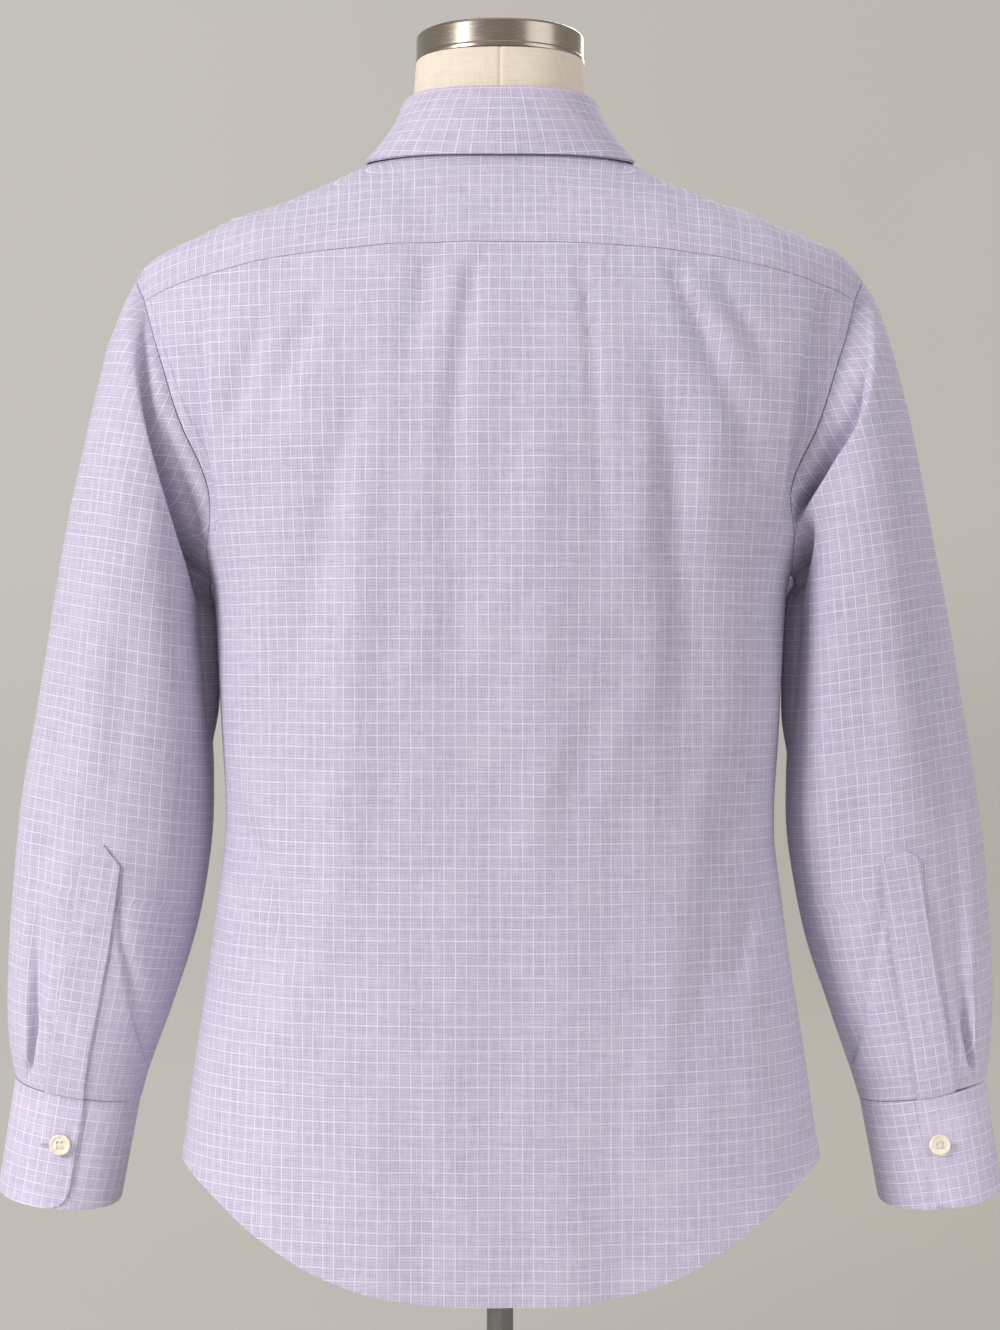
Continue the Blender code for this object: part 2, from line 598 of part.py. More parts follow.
def make_collar_stand():
    """A band from the neckline up to the fold, its left end lapping over its right end in front."""
    half = math.pi + STAND_LAP
    angle = np.linspace(-half, half, 37)
    shift = STAND_STEP * np.sign(angle) * lapping(angle)
    low = torso(angle, np.full_like(angle, NECK)) + np.array([0, 0, SEAM / 2 + STAND_LIFT])
    high = collar_ring(angle, 0, 0)
    points = np.stack([low, (low + high) / 2, high])
    normals = grid_normals(points)
    normals = normals * turned_out(points)
    points = points + normals * shift[None, :, None]
    wall("collar_stand", points, BAND)


def leaf_rows(steps):
    """The leaf's middle surface, from just over the stand, round the fold and down to its free edge."""
    part = np.linspace(-1, 1, steps + 1)
    fold_angle = part * LEAF_END
    rounds, angles, levels, clear = np.array(LEAF_EDGE).T
    edge_angle = np.sign(part) * np.radians(np.interp(np.abs(part), rounds, angles))
    edge_level = np.interp(np.abs(part), rounds, levels)
    gap = np.interp(np.abs(part), rounds, clear)
    edge = torso(edge_angle, edge_level) + torso_normal(edge_angle, edge_level) * gap[:, None]
    rows = [collar_ring(fold_angle, lift, out) for lift, out in FOLD_ROLL]
    start, outward = rows[-1], rows[-1] - rows[0]
    outward = outward / np.linalg.norm(outward, axis=-1, keepdims=True)
    bow = LEAF_BOW["back"] + (LEAF_BOW["side"] - LEAF_BOW["back"]) * np.sin(fold_angle)[:, None] ** 2
    for t in (0.25, 0.5, 0.75, 1.0):
        rows.append(start + (edge - start) * t + outward * bow * math.sin(math.pi * t))
    return np.stack(rows)


def make_collar_leaf():
    wall("collar_leaf", leaf_rows(32), BAND)


# ---- Buttons ----
def make_button(name, place, normal, size, mirror=False):
    """A round disc with its back on the cloth; place is the cloth's outer face."""
    radius, thick = size["across"] / 2, size["thick"]
    outline = ((0, 0), (radius * 0.86, 0), (radius, thick * 0.45), (radius * 0.92, thick), (0, thick))
    made = turned(name, outline, "button", 12)
    place, normal = Vector(place), Vector(normal)
    if mirror:
        place.x, normal.x = -place.x, -normal.x
    turned_to = normal.to_track_quat("Z", "Y").to_matrix().to_4x4()
    made.matrix_world = Matrix.Translation(place + normal * SEAM) @ turned_to
    return made


def make_front_buttons():
    for k in range(FRONT_BUTTONS):
        height = FRONT_BUTTON_TOP - k * FRONT_BUTTON_PITCH
        levels = np.linspace(0, NECK, 600)
        centre = torso(math.pi, levels)
        level = np.interp(height + RISE, centre[:, 2], levels)
        place, normal = torso(math.pi, level), torso_normal(math.pi, level)
        off = LAP_STEP + CLOTH / 2 + BUTTON_CLEAR["front"]
        make_button(f"button_front_{k + 1}", place + normal * off, normal, BUTTON)


def make_collar_button():
    low, high = torso(math.pi, NECK), collar_ring(math.pi, 0, 0)
    middle = (low + high) / 2
    up = (high - low) / np.linalg.norm(high - low)
    normal = np.array([0, -up[2], up[1]])
    off = STAND_STEP + BAND / 2 + BUTTON_CLEAR["collar"]
    make_button("button_collar", middle + normal * off, normal, BUTTON)


def make_cuff_button(name, mirror):
    turn = np.array([CUFF_BUTTON_ANGLE - 0.05, CUFF_BUTTON_ANGLE, CUFF_BUTTON_ANGLE + 0.05])
    rows = np.array([CUFF_BUTTON_ROW - 0.1, CUFF_BUTTON_ROW, CUFF_BUTTON_ROW + 0.1])
    near = smooth_rows(np.stack([tube_ring(turn, *row) for row in CUFF]), rows)
    normal = np.cross(near[1, 2] - near[1, 0], near[2, 1] - near[0, 1])
    normal *= np.sign(normal[1]) / np.linalg.norm(normal)
    make_button(name, near[1, 1] + normal * (BAND / 2 + BUTTON_CLEAR["cuff"]), normal, CUFF_BUTTON, mirror)


# ---- The dress form ----
def make_form():
    """One smooth limbless solid, from its flat underside to the top of its neck."""
    levels = np.array([0, 0.35, 1, 2, 3, 4, 5, 6, 7, 8, 8.5, 9, 9.5, 10, 10.5, 11, 12, 13, 14, 15])
    angle = np.arange(28) * 2 * math.pi / 28
    grid = np.stack([ring(angle, *row) for row in smooth_rows(FORM, levels)])
    rows, columns = grid.shape[:2]
    number = np.arange(rows * columns).reshape(rows, columns)
    after = np.roll(number, -1, axis=1)
    corners = (number[:-1], after[:-1], after[1:], number[1:])
    faces = np.stack([corner.ravel() for corner in corners], axis=1).tolist()
    faces += [number[0].tolist(), number[-1, ::-1].tolist()]
    new_object("form_torso", grid.reshape(-1, 3), faces, "linen")


def make_stand():
    foot, rim = BASE_THICK, BASE_RADIUS
    outline = ((0, 0), (rim, 0), (rim, foot - BASE_EDGE), (rim - BASE_EDGE, foot), (0, foot))
    turned("form_base", outline, "steel", 32)
    under = FORM[0][1] + RISE
    low, high = foot + SEAM, under - SEAM
    outline = (
        (0, low), (POLE_RADIUS, low), (POLE_RADIUS, high - POLE_FLANGE),
        (POLE_FLANGE_RADIUS, high - POLE_FLANGE), (POLE_FLANGE_RADIUS, high), (0, high),
    )
    turned("form_pole", outline, "steel", 16)
    top, low = CAP_TOP + RISE, CAP_FOOT + RISE
    edge = CAP_RADIUS - CAP_EDGE
    outline = ((0, low), (CAP_RADIUS, low), (CAP_RADIUS, top - CAP_EDGE), (edge, top), (0, top))
    turned("form_cap", outline, "nickel", 28)


def main():
    for old in list(bpy.data.objects):
        bpy.data.objects.remove(old)
    make_back()
    make_front("front_left", 1)
    make_front("front_right", -1)
    make_yoke()
    for name, side in (("left", 1), ("right", -1)):
        make_sleeve(f"sleeve_{name}", side)
        make_placket(f"placket_{name}", side)
        make_cuff(f"cuff_{name}", side)
        make_cuff_button(f"button_cuff_{name}", side < 0)
    make_collar_stand()
    make_collar_leaf()
    make_front_buttons()
    make_collar_button()
    make_form()
    make_stand()


main()
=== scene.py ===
"""Looks for a long-sleeved dress shirt on a limbless dress form, built around its packed CAD frame.

The wearer's front is -Y, the wearer's left is +X and up is +Z, in metres. The torso cloth lies on one
surface, torso(angle, level), and each sleeve on sleeve(turn, ring), with soft creases pressed into them.
Every sewn piece is a thin shell on a fine grid, and its UV map holds metres of its own grain, so the woven
check runs straight in each piece.
"""

import math

import bmesh
import bpy
import numpy as np
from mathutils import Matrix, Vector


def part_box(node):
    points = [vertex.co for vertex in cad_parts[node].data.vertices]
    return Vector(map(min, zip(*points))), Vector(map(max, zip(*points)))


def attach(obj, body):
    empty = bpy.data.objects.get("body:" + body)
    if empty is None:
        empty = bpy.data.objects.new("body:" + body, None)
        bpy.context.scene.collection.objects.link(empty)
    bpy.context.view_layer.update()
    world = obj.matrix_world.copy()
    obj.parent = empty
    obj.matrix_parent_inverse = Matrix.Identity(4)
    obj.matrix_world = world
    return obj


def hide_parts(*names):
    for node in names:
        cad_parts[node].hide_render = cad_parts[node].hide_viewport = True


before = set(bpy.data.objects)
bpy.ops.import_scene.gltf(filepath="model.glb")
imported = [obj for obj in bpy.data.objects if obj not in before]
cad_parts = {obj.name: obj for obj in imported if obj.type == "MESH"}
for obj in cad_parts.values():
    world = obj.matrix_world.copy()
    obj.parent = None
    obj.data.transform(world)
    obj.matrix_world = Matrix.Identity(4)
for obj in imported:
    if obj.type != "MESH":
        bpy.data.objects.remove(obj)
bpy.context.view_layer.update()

bl_info = {
    "name": "Dress Shirt on a Form",
    "version": (1, 0, 0),
    "blender": (4, 5, 0),
    "location": "3D View > Sidebar > Dress Shirt",
    "description": "A long-sleeved checked dress shirt, buttoned on a limbless dress form",
    "category": "Object",
}

# ---- Sizes shared with the CAD part, metres ----
RISE = 0.557  # height over the floor of the shirt's own zero line
CLOTH, BAND, SEAM = 0.0012, 0.0020, 0.0004
TORSO_ROUND, SLEEVE_ROUND = 2.4, 2.15
LAP, LAP_STEP = math.radians(8), 0.0010
STAND_STEP = 0.00135  # how far each lapping end of the collar's stand is shifted

# Rings of the torso, hem first: half_width side_z back_y back_z front_y front_z bow fill
TORSO = (
    (0.2140, -0.330, 0.1210, -0.4065, 0.112, -0.392, 3.3, 1.25),
    (0.2080, -0.283, 0.1200, -0.3350, 0.111, -0.326, 3.3, 1.25),
    (0.2000, -0.228, 0.1180, -0.2560, 0.109, -0.250, 2.6, 1.12),
    (0.1897, -0.160, 0.1140, -0.1700, 0.106, -0.167, 2.2, 1.0),
    (0.1845, -0.105, 0.1115, -0.1070, 0.105, -0.106, 2.0, 1.0),
    (0.1885, -0.033, 0.1140, -0.0330, 0.108, -0.033, 2.0, 1.0),
    (0.1912, 0.030, 0.1180, 0.0320, 0.113, 0.031, 2.0, 1.0),
    (0.1960, 0.062, 0.1195, 0.0700, 0.115, 0.066, 2.0, 1.0),
    (0.2140, 0.105, 0.1200, 0.1200, 0.115, 0.110, 2.0, 1.0),
    (0.2350, 0.150, 0.1185, 0.1700, 0.112, 0.155, 2.0, 1.0),
    (0.2425, 0.195, 0.1135, 0.2200, 0.107, 0.195, 2.0, 1.0),
    (0.2440, 0.237, 0.1030, 0.2705, 0.100, 0.228, 2.0, 1.0),
    (0.2405, 0.2645, 0.0950, 0.2875, 0.095, 0.247, 2.0, 1.0),
    (0.1970, 0.2890, 0.0860, 0.3030, 0.090, 0.265, 2.0, 1.0),
    (0.1370, 0.3120, 0.0780, 0.3200, 0.084, 0.284, 2.0, 1.0),
    (0.0690, 0.3450, 0.0655, 0.3440, 0.073, 0.312, 2.0, 1.0),
)
UNDERARM, YOKE_SEAM, TIP, NECK = 7, 11, 12, 15  # levels: rows of the table
ARMHOLE_REACH = {"back": 0.53, "front": 0.54}
ARMHOLE_LOW = 0.30
FRONT_SEAM_LEVEL, FRONT_SEAM_NECK = 11.25, math.radians(118)

# Rings of the left sleeve below the armhole: out_x out_z in_x in_z depth mid_y back_drop
SLEEVE = (
    (0.2540, 0.2430, 0.2012, 0.0520, 0.0740, 0.000, 0.000),
    (0.2655, 0.2070, 0.2020, 0.0350, 0.0765, 0.000, 0.000),
    (0.2785, 0.1550, 0.2008, 0.0100, 0.0765, -0.001, 0.000),
    (0.2892, 0.1020, 0.1990, -0.0150, 0.0745, -0.002, 0.000),
    (0.2997, 0.0480, 0.1972, -0.0450, 0.0705, -0.003, 0.000),
    (0.3095, -0.0100, 0.1955, -0.0780, 0.0660, -0.004, 0.000),
    (0.3205, -0.0700, 0.1960, -0.1120, 0.0610, -0.005, 0.000),
    (0.3283, -0.1250, 0.2015, -0.1480, 0.0565, -0.006, 0.000),
    (0.3335, -0.1800, 0.2112, -0.1930, 0.0520, -0.008, 0.001),
    (0.3352, -0.2220, 0.2240, -0.2310, 0.0480, -0.010, 0.002),
    (0.3345, -0.2500, 0.2345, -0.2590, 0.0440, -0.011, 0.002),
    (0.3325, -0.2680, 0.2420, -0.2800, 0.0395, -0.012, 0.003),
    (0.3304, -0.2787, 0.2460, -0.2937, 0.0350, -0.012, 0.003),
)
SLEEVE_END = len(SLEEVE)
CUFF = (
    (0.3304, -0.2795, 0.2450, -0.2945, 0.0350, -0.012, 0.003),
    (0.3362, -0.3165, 0.2515, -0.3290, 0.0350, -0.012, 0.0045),
    (0.3420, -0.3540, 0.2580, -0.3635, 0.0350, -0.012, 0.006),
)
PLACKET_EDGE, PLACKET_WIDTH = math.radians(78), 0.026
PLACKET_TOP, PLACKET_POINT = 7.86, 0.27
UNDERLAP, CUFF_CORNER = math.radians(40), 0.015
CUFF_BUTTON_ANGLE, CUFF_BUTTON_ROW = math.radians(92), 0.85
COLLAR_TOP = (0.0605, 0.3755, 0.0625, 0.3742, 0.0650, 0.3420)
FOLD_ROLL = ((0.0018, 0.0), (0.0036, 0.0016), (0.0026, 0.0046))
STAND_LAP, LEAF_END = math.radians(12), math.radians(172)
LEAF_BOW = {"back": 0.003, "side": -0.004}  # how far the leaf stands off a straight line, fold to edge
# The leaf's free edge: how far round, torso angle in degrees, level it lies over, height off the cloth
LEAF_EDGE = (
    (0.00, 0.0, 14.44, 0.0042),
    (0.28, 45.0, 14.52, 0.0032),
    (0.55, 88.0, 14.72, 0.0024),
    (0.80, 128.0, 14.40, 0.0036),
    (1.00, 155.0, 13.45, 0.0046),
)
BUTTON, CUFF_BUTTON = (0.0115, 0.0024), (0.0146, 0.0028)  # across, thick
FRONT_BUTTONS, FRONT_BUTTON_TOP, FRONT_BUTTON_PITCH = 7, 0.262, 0.088
FORM = (
    (0.150, -0.285, 0.0800, -0.285, 0.078, -0.285, 2.0, 1.0),
    (0.160, -0.265, 0.0860, -0.265, 0.084, -0.265, 2.0, 1.0),
    (0.162, -0.200, 0.0880, -0.200, 0.086, -0.200, 2.0, 1.0),
    (0.150, -0.105, 0.0820, -0.105, 0.082, -0.105, 2.0, 1.0),
    (0.158, -0.020, 0.0880, -0.020, 0.088, -0.020, 2.0, 1.0),
    (0.170, 0.070, 0.1000, 0.070, 0.096, 0.070, 2.0, 1.0),
    (0.181, 0.140, 0.1030, 0.150, 0.094, 0.140, 2.0, 1.0),
    (0.190, 0.190, 0.0980, 0.205, 0.088, 0.180, 2.0, 1.0),
    (0.194, 0.225, 0.0880, 0.250, 0.080, 0.210, 2.0, 1.0),
    (0.186, 0.255, 0.0760, 0.280, 0.074, 0.235, 2.0, 1.0),
    (0.152, 0.284, 0.0670, 0.301, 0.068, 0.262, 2.0, 1.0),
    (0.105, 0.306, 0.0600, 0.319, 0.063, 0.288, 2.0, 1.0),
    (0.072, 0.325, 0.0560, 0.335, 0.059, 0.312, 2.0, 1.0),
    (0.0585, 0.352, 0.0560, 0.352, 0.0570, 0.340, 2.0, 1.0),
    (0.0587, 0.380, 0.0587, 0.380, 0.0583, 0.378, 2.0, 1.0),
    (0.0570, 0.4065, 0.0570, 0.4065, 0.0570, 0.4065, 2.0, 1.0),
)

BUTTON_PROFILE = (  # parts of the radius and of the thickness, from the back up to the dish
    (0.02, 0), (0.86, 0), (0.95, 0.10), (1.0, 0.38), (0.985, 0.72),
    (0.93, 0.94), (0.86, 1.0), (0.78, 0.95), (0.70, 0.78), (0.62, 0.68),
)

# ---- Sizes of the visual alone ----
HEM_DEPTH, ARM_STITCH = 0.009, 0.0078  # the hem's depth; how far from the armhole seam its stitches run
THREAD_PITCH = 0.00046  # two threads of the weave
SLEEVE_AXIS, FOREARM = (0.17, 0.0, -1.0), (0.45, 0.75)  # parts of the sleeve's length that set its taper
# Where the sleeve's grid is closer: turn, half width, gain
SLEEVE_SPOTS = ((math.radians(132), 0.16, 4.0), (math.radians(74), 0.16, 2.0), (math.radians(48), 0.8, 2.2))
CHECK_START = {
    "front": (0.002, 0.003), "yoke": 0.0015, "sleeve": 0.0021, "placket": (0.0030, 0.0011),
    "cuff": 0.0026, "collar": (0.0004, 0.0012),
}
CUFF_SPREAD = 15  # degrees

# ---- Creases, in millimetres ----
# Each crease is a line down the cloth, in rows of x, height over the zero line, half width on its +X
# side, half width on its -X side, and depth; a negative depth is a ridge.
BACK_CREASES = (
    ((16, 262, 4, 4, 0), (17, 250, 5, 5, 1.6), (23, 213, 7, 7, 1.8), (29, 150, 10, 9, 1.7),
     (30, 99, 14, 13, 1.5), (29, 0, 18, 18, 1.1), (28, -60, 20, 20, 0)),
    ((45, 262, 4, 5, 0), (47, 250, 5, 6, 1.2), (55, 213, 9, 9, 1.0), (60, 170, 12, 12, 0)),
    ((-52, 262, 3, 3, 0), (-53, 252, 3, 4, 1.3), (-58, 200, 4, 6, 1.5), (-63, 118, 6, 9, 1.0),
     (-66, 60, 10, 14, 0)),
    ((-96, 205, 8, 12, 0), (-102, 181, 9, 15, 1.8), (-110, 100, 11, 20, 3.0), (-117, 13, 13, 22, 2.6),
     (-115, -60, 16, 22, 1.4), (-112, -110, 18, 22, 0)),
    ((-112, 262, 5, 5, 0), (-115, 246, 6, 7, 2.0), (-135, 200, 8, 10, 2.2), (-156, 150, 10, 14, 1.4),
     (-166, 110, 12, 16, 0)),
    ((-139, 258, 5, 5, 0), (-146, 242, 6, 7, 1.8), (-162, 213, 8, 9, 1.8), (-176, 188, 9, 10, 0)),
    ((150, 235, 7, 7, 0), (157, 210, 9, 9, 1.8), (170, 170, 12, 11, 2.0), (180, 130, 13, 12, 0)),
    ((112, 243, 7, 7, 0), (120, 224, 9, 9, 1.5), (145, 175, 12, 12, 1.8), (166, 128, 14, 14, 0)),
    ((86, 195, 10, 10, 0), (95, 158, 12, 13, 1.4), (115, 80, 15, 16, 1.8), (131, 5, 16, 18, 1.3),
     (140, -60, 16, 18, 0)),
    ((30, 262, 4, 4, 0), (30, 248, 5, 5, -0.9), (33, 210, 6, 6, 0)),
    ((-28, 160, 16, 16, 0), (-28, 110, 20, 20, -1.4), (-26, -50, 22, 22, -1.5), (-28, -170, 22, 22, -0.8),
     (-28, -230, 22, 22, 0)),
    ((84, 140, 13, 13, 0), (88, 100, 15, 15, -1.2), (95, -20, 18, 18, -2.0), (104, -134, 20, 20, -2.0),
     (132, -222, 22, 22, -1.4), (146, -270, 22, 22, 0)),
    ((-118, 256, 5, 6, 0), (-124, 243, 6, 6, -1.4), (-148, 205, 8, 8, -1.6), (-172, 172, 9, 9, 0)),
    ((172, -98, 6, 10, 0), (163, -118, 6, 12, 1.8), (140, -170, 7, 15, 2.2), (118, -213, 9, 17, 1.2),
     (104, -240, 10, 18, 0)),
    ((178, -140, 6, 9, 0), (170, -160, 6, 10, 1.6), (159, -205, 8, 13, 1.8), (149, -250, 9, 14, 0)),
    ((-182, -112, 8, 6, 0), (-172, -137, 9, 6, 1.6), (-160, -185, 11, 7, 1.7), (-150, -222, 12, 8, 0)),
    ((-150, -40, 14, 12, 0), (-152, -100, 16, 14, 1.6), (-142, -200, 18, 17, 1.8),
     (-140, -290, 18, 17, 0)),
    ((193, 244, 14, 3, 0), (194, 220, 15, 4, 1.4), (194, 180, 16, 4, 3.2), (193, 143, 16, 3, 4.6),
     (189, 105, 14, 3, 4.2), (187, 78, 12, 3, 0)),
    ((-211, 246, 3, 12, 0), (-208, 228, 4, 14, 2.2), (-196, 172, 3, 16, 4.6), (-190, 119, 3, 15, 5.4),
     (-187, 86, 3, 12, 0)),
    ((60, -250, 24, 24, 0), (54, -300, 24, 24, 1.2), (50, -360, 24, 24, 1.6), (48, -420, 24, 24, 1.4)),
    ((-64, -220, 22, 22, 0), (-72, -300, 24, 24, 1.3), (-80, -420, 26, 26, 1.6)),
    ((4, -140, 26, 26, 0), (2, -240, 28, 28, 0.9), (-6, -420, 30, 30, 1.1)),
)
# As seen from in front: x runs the same way, and lines lie on the two fronts.
FRONT_CREASES = (
    ((120, 262, 6, 6, 0), (118, 235, 8, 8, 1.8), (110, 170, 12, 11, 2.2), (92, 90, 15, 14, 1.6),
     (84, 30, 16, 16, 0)),
    ((-116, 258, 6, 6, 0), (-118, 230, 8, 8, 1.5), (-104, 160, 11, 12, 2.4), (-86, 70, 14, 15, 1.5),
     (-80, 10, 16, 16, 0)),
    ((182, 205, 5, 12, 0), (180, 170, 5, 14, 2.6), (176, 120, 5, 14, 3.6), (174, 82, 6, 12, 0)),
    ((-184, 208, 12, 5, 0), (-181, 165, 14, 5, 2.8), (-175, 112, 14, 5, 3.4), (-172, 80, 12, 6, 0)),
    ((176, 62, 10, 9, 0), (150, 44, 11, 10, 2.0), (110, 12, 14, 13, 1.6), (72, -8, 16, 16, 0)),
    ((-178, 66, 9, 10, 0), (-148, 40, 10, 12, 2.2), (-112, 2, 13, 14, 1.5), (-80, -26, 16, 16, 0)),
    ((150, 20, 12, 12, 0), (146, -60, 14, 14, 2.2), (150, -150, 16, 16, 2.0), (158, -250, 18, 18, 1.2),
     (162, -330, 18, 18, 0)),
    ((-146, 10, 12, 12, 0), (-150, -70, 14, 14, 2.0), (-154, -170, 16, 16, 2.2), (-164, -300, 18, 18, 0)),
    ((92, -40, 14, 14, 0), (96, -120, 16, 16, -1.6), (108, -230, 20, 20, -1.8), (118, -340, 22, 22, -1.0),
     (120, -400, 22, 22, 0)),
    ((-88, -60, 14, 14, 0), (-98, -140, 16, 16, -1.5), (-104, -250, 20, 20, -2.0),
     (-112, -400, 22, 22, -0.6)),
    ((58, 70, 10, 10, 0), (50, 20, 12, 12, 1.2), (46, -70, 15, 15, 1.5), (50, -180, 18, 18, 1.0),
     (54, -260, 20, 20, 0)),
    ((-52, 60, 10, 10, 0), (-48, -10, 13, 13, 1.4), (-46, -120, 16, 16, 1.3), (-52, -240, 20, 20, 0)),
    ((40, 228, 5, 5, 0), (46, 200, 7, 7, 1.0), (56, 150, 9, 9, 0)),
    ((-42, 222, 5, 5, 0), (-50, 190, 7, 7, 1.1), (-58, 140, 9, 9, 0)),
    ((72, -300, 20, 20, 0), (76, -350, 20, 20, 1.4), (78, -410, 20, 20, 1.6)),
    ((-62, -290, 20, 20, 0), (-66, -350, 20, 20, 1.3), (-70, -410, 20, 20, 1.5)),
)
LEFT_SLEEVE_BACK = (
    ((232, 240, 3, 6, 0), (234, 215, 3, 7, 2.0), (234, 195, 3, 8, 4.0), (229, 166, 3, 10, 7.0),
     (222, 139, 3, 12, 10.0),
     (215, 112, 3, 13, 13.0), (205, 74, 3, 13, 15.0), (199, 43, 3, 12, 13.0), (192, 8, 3, 10, 0)),
    ((234, 212, 2, 4, 0), (232, 185, 2, 5, 4.0), (227, 154, 2, 5, 7.0), (218, 120, 2, 6, 9.0),
     (207, 80, 2, 6, 10.0),
     (200, 46, 2, 6, 9.0), (194, 12, 2, 5, 0)),
    ((219, 172, 4, 5, 0), (214, 152, 5, 6, 3.0), (205, 128, 6, 8, 6.0), (197, 99, 7, 8, 6.0),
     (194, 70, 7, 8, 0)),
    ((258, 140, 13, 13, 0), (264, 115, 13, 14, 1.4), (271, 84, 13, 15, 2.2), (281, 50, 12, 15, 2.6),
     (291, -10, 11, 15, 2.8),
     (297, -50, 10, 14, 2.8), (305, -111, 9, 13, 3.2), (309, -157, 7, 12, 4.0), (311, -206, 4, 11, 5.6),
     (313, -228, 3, 7, 7.4), (314, -250, 2.2, 3.6, 9.0), (316, -266, 2, 2.8, 8.0),
     (316.5, -275, 1.8, 2.6, 2.0),
     (317, -279, 1.6, 2.6, 0)),
    ((262, 185, 9, 9, 0), (268, 150, 11, 11, -1.2), (284, 90, 12, 12, -1.6), (300, 10, 10, 11, -1.2),
     (306, -60, 9, 9, 0)),
    ((235, 60, 12, 12, 0), (243, 20, 14, 14, 1.2), (252, -50, 15, 15, 1.4), (256, -100, 14, 14, 0)),
    ((214, 30, 9, 9, 0), (214, -10, 10, 10, -1.4), (218, -80, 12, 12, -1.5), (226, -150, 12, 12, 0)),
    ((258, -128, 3, 6, 0), (256, -150, 2, 8, 1.2), (247, -215, 2, 10, 3.2), (238, -270, 2, 10, 3.0),
     (235, -290, 2, 10, 0.6)),
    ((270, 235, 9, 9, 0), (262, 214, 10, 10, -1.0), (250, 190, 10, 10, 0)),
)
RIGHT_SLEEVE_BACK = (
    ((-243, 240, 6, 3, 0), (-241, 226, 7, 3, 1.2), (-240, 197, 8, 3, 3.5), (-231, 162, 10, 3, 7.0),
     (-215, 136, 12, 3, 10.0),
     (-208, 123, 12, 3, 11.5), (-193, 96, 12, 3, 12.0), (-188, 80, 12, 3, 0)),
    ((-239, 195, 4, 2, 0), (-231, 162, 5, 2, 4.0), (-215, 136, 6, 2, 7.0), (-208, 123, 6, 2, 8.0),
     (-195, 99, 6, 2, 9.0), (-188, 82, 5, 2, 0)),
    ((-205, 98, 6, 2, 0), (-204, 76, 6, 2, 5.0), (-199, 45, 6, 2, 8.0), (-194, 5, 5, 2, 6.0),
     (-190, -30, 4, 2, 0)),
    ((-204, 100, 9, 3, 0), (-203, 76, 10, 3, 7.0), (-199, 45, 10, 3, 11.0), (-194, 5, 9, 3, 4.0),
     (-192, -20, 9, 3, 0)),
    ((-262, 120, 12, 12, 0), (-274, 60, 13, 12, 1.6), (-288, -20, 14, 11, 2.4), (-301, -104, 13, 9, 3.0),
     (-306, -157, 12, 7, 4.0),
     (-309, -206, 10, 4, 5.4),
     (-312, -228, 7, 3, 7.2), (-314, -250, 3.6, 2.2, 9.0), (-317, -266, 2.8, 2, 8.0),
     (-318, -275, 2.6, 1.8, 2.0),
     (-318, -279, 2.6, 1.6, 0)),
    ((-240, 90, 12, 12, 0), (-248, 40, 14, 14, -1.6), (-262, -60, 15, 15, -1.8), (-270, -120, 14, 14, 0)),
    ((-222, 20, 12, 12, 0), (-230, -40, 13, 13, 1.4), (-238, -110, 13, 13, 1.2), (-242, -150, 12, 12, 0)),
    ((-258, -128, 6, 3, 0), (-256, -150, 8, 2, 1.0), (-247, -215, 10, 2, 3.0), (-238, -270, 10, 2, 2.8),
     (-235, -290, 10, 2, 0.6)),
    ((-286, -150, 8, 8, 0), (-292, -190, 8, 8, 1.2), (-298, -250, 6, 6, 1.6), (-300, -280, 5, 5, 0.3)),
)
SLEEVE_FRONT = (
    ((200, 80, 14, 14, 0), (201, 62, 15, 15, -9.5), (201, 46, 15, 15, -11), (200, 12, 15, 15, -9.2),
     (198, -28, 13, 13, -5.5),
     (198, -52, 12, 12, 0)),
    ((236, 225, 4, 8, 0), (234, 190, 4, 9, 3.0), (226, 150, 4, 11, 6.0), (214, 110, 4, 12, 9.0),
     (204, 70, 4, 12, 10.0), (197, 20, 5, 10, 0)),
    ((262, 150, 12, 12, 0), (268, 100, 13, 13, 2.0), (280, 30, 13, 13, 2.4), (288, -40, 12, 12, 0)),
    ((204, 0, 9, 9, 0), (222, -22, 9, 9, 3.0), (250, -40, 11, 11, 2.0), (270, -48, 12, 12, 0)),
    ((204, -50, 9, 9, 0), (226, -64, 9, 9, 3.4), (256, -88, 11, 11, 2.4), (284, -96, 12, 12, 0)),
    ((210, -105, 8, 8, 0), (232, -122, 9, 9, 2.4), (262, -140, 11, 11, 1.6), (282, -150, 12, 12, 0)),
    ((300, -100, 10, 10, 0), (304, -150, 10, 10, 1.8), (306, -210, 8, 8, 2.6), (307, -262, 6, 6, 2.4),
     (308, -284, 6, 6, 0.5)),
    ((268, -170, 9, 9, 0), (272, -210, 8, 8, 1.6), (275, -262, 6, 6, 2.0), (276, -290, 6, 6, 0.4)),
)
TORSO_DEPTH = 2.1  # how much deeper than their tables the torso's creases are pressed


# ---- Shared geometry ----
def eased(part):
    """A part held between 0 and 1, as 3 t^2 - 2 t^3."""
    part = np.clip(part, 0, 1)
    return part * part * (3 - 2 * part)


def smooth_rows(table, places):
    """Reads a table between its rows: a Catmull-Rom spline through the four rows about each place."""
    rows = np.asarray(table, float)
    rows = np.concatenate([2 * rows[:1] - rows[1:2], rows, 2 * rows[-1:] - rows[-2:-1]])
    places = np.asarray(places, float)
    first = np.clip(places.astype(int), 0, len(rows) - 4)
    step = (places - first).reshape(places.shape + (1,) * (rows.ndim - 1))
    before, here, after, beyond = (rows[first + k] for k in range(4))
    return 0.5 * (
        2 * here
        + (after - before) * step
        + (2 * before - 5 * here + 4 * after - beyond) * step**2
        + (3 * here - before - 3 * after + beyond) * step**3
    )


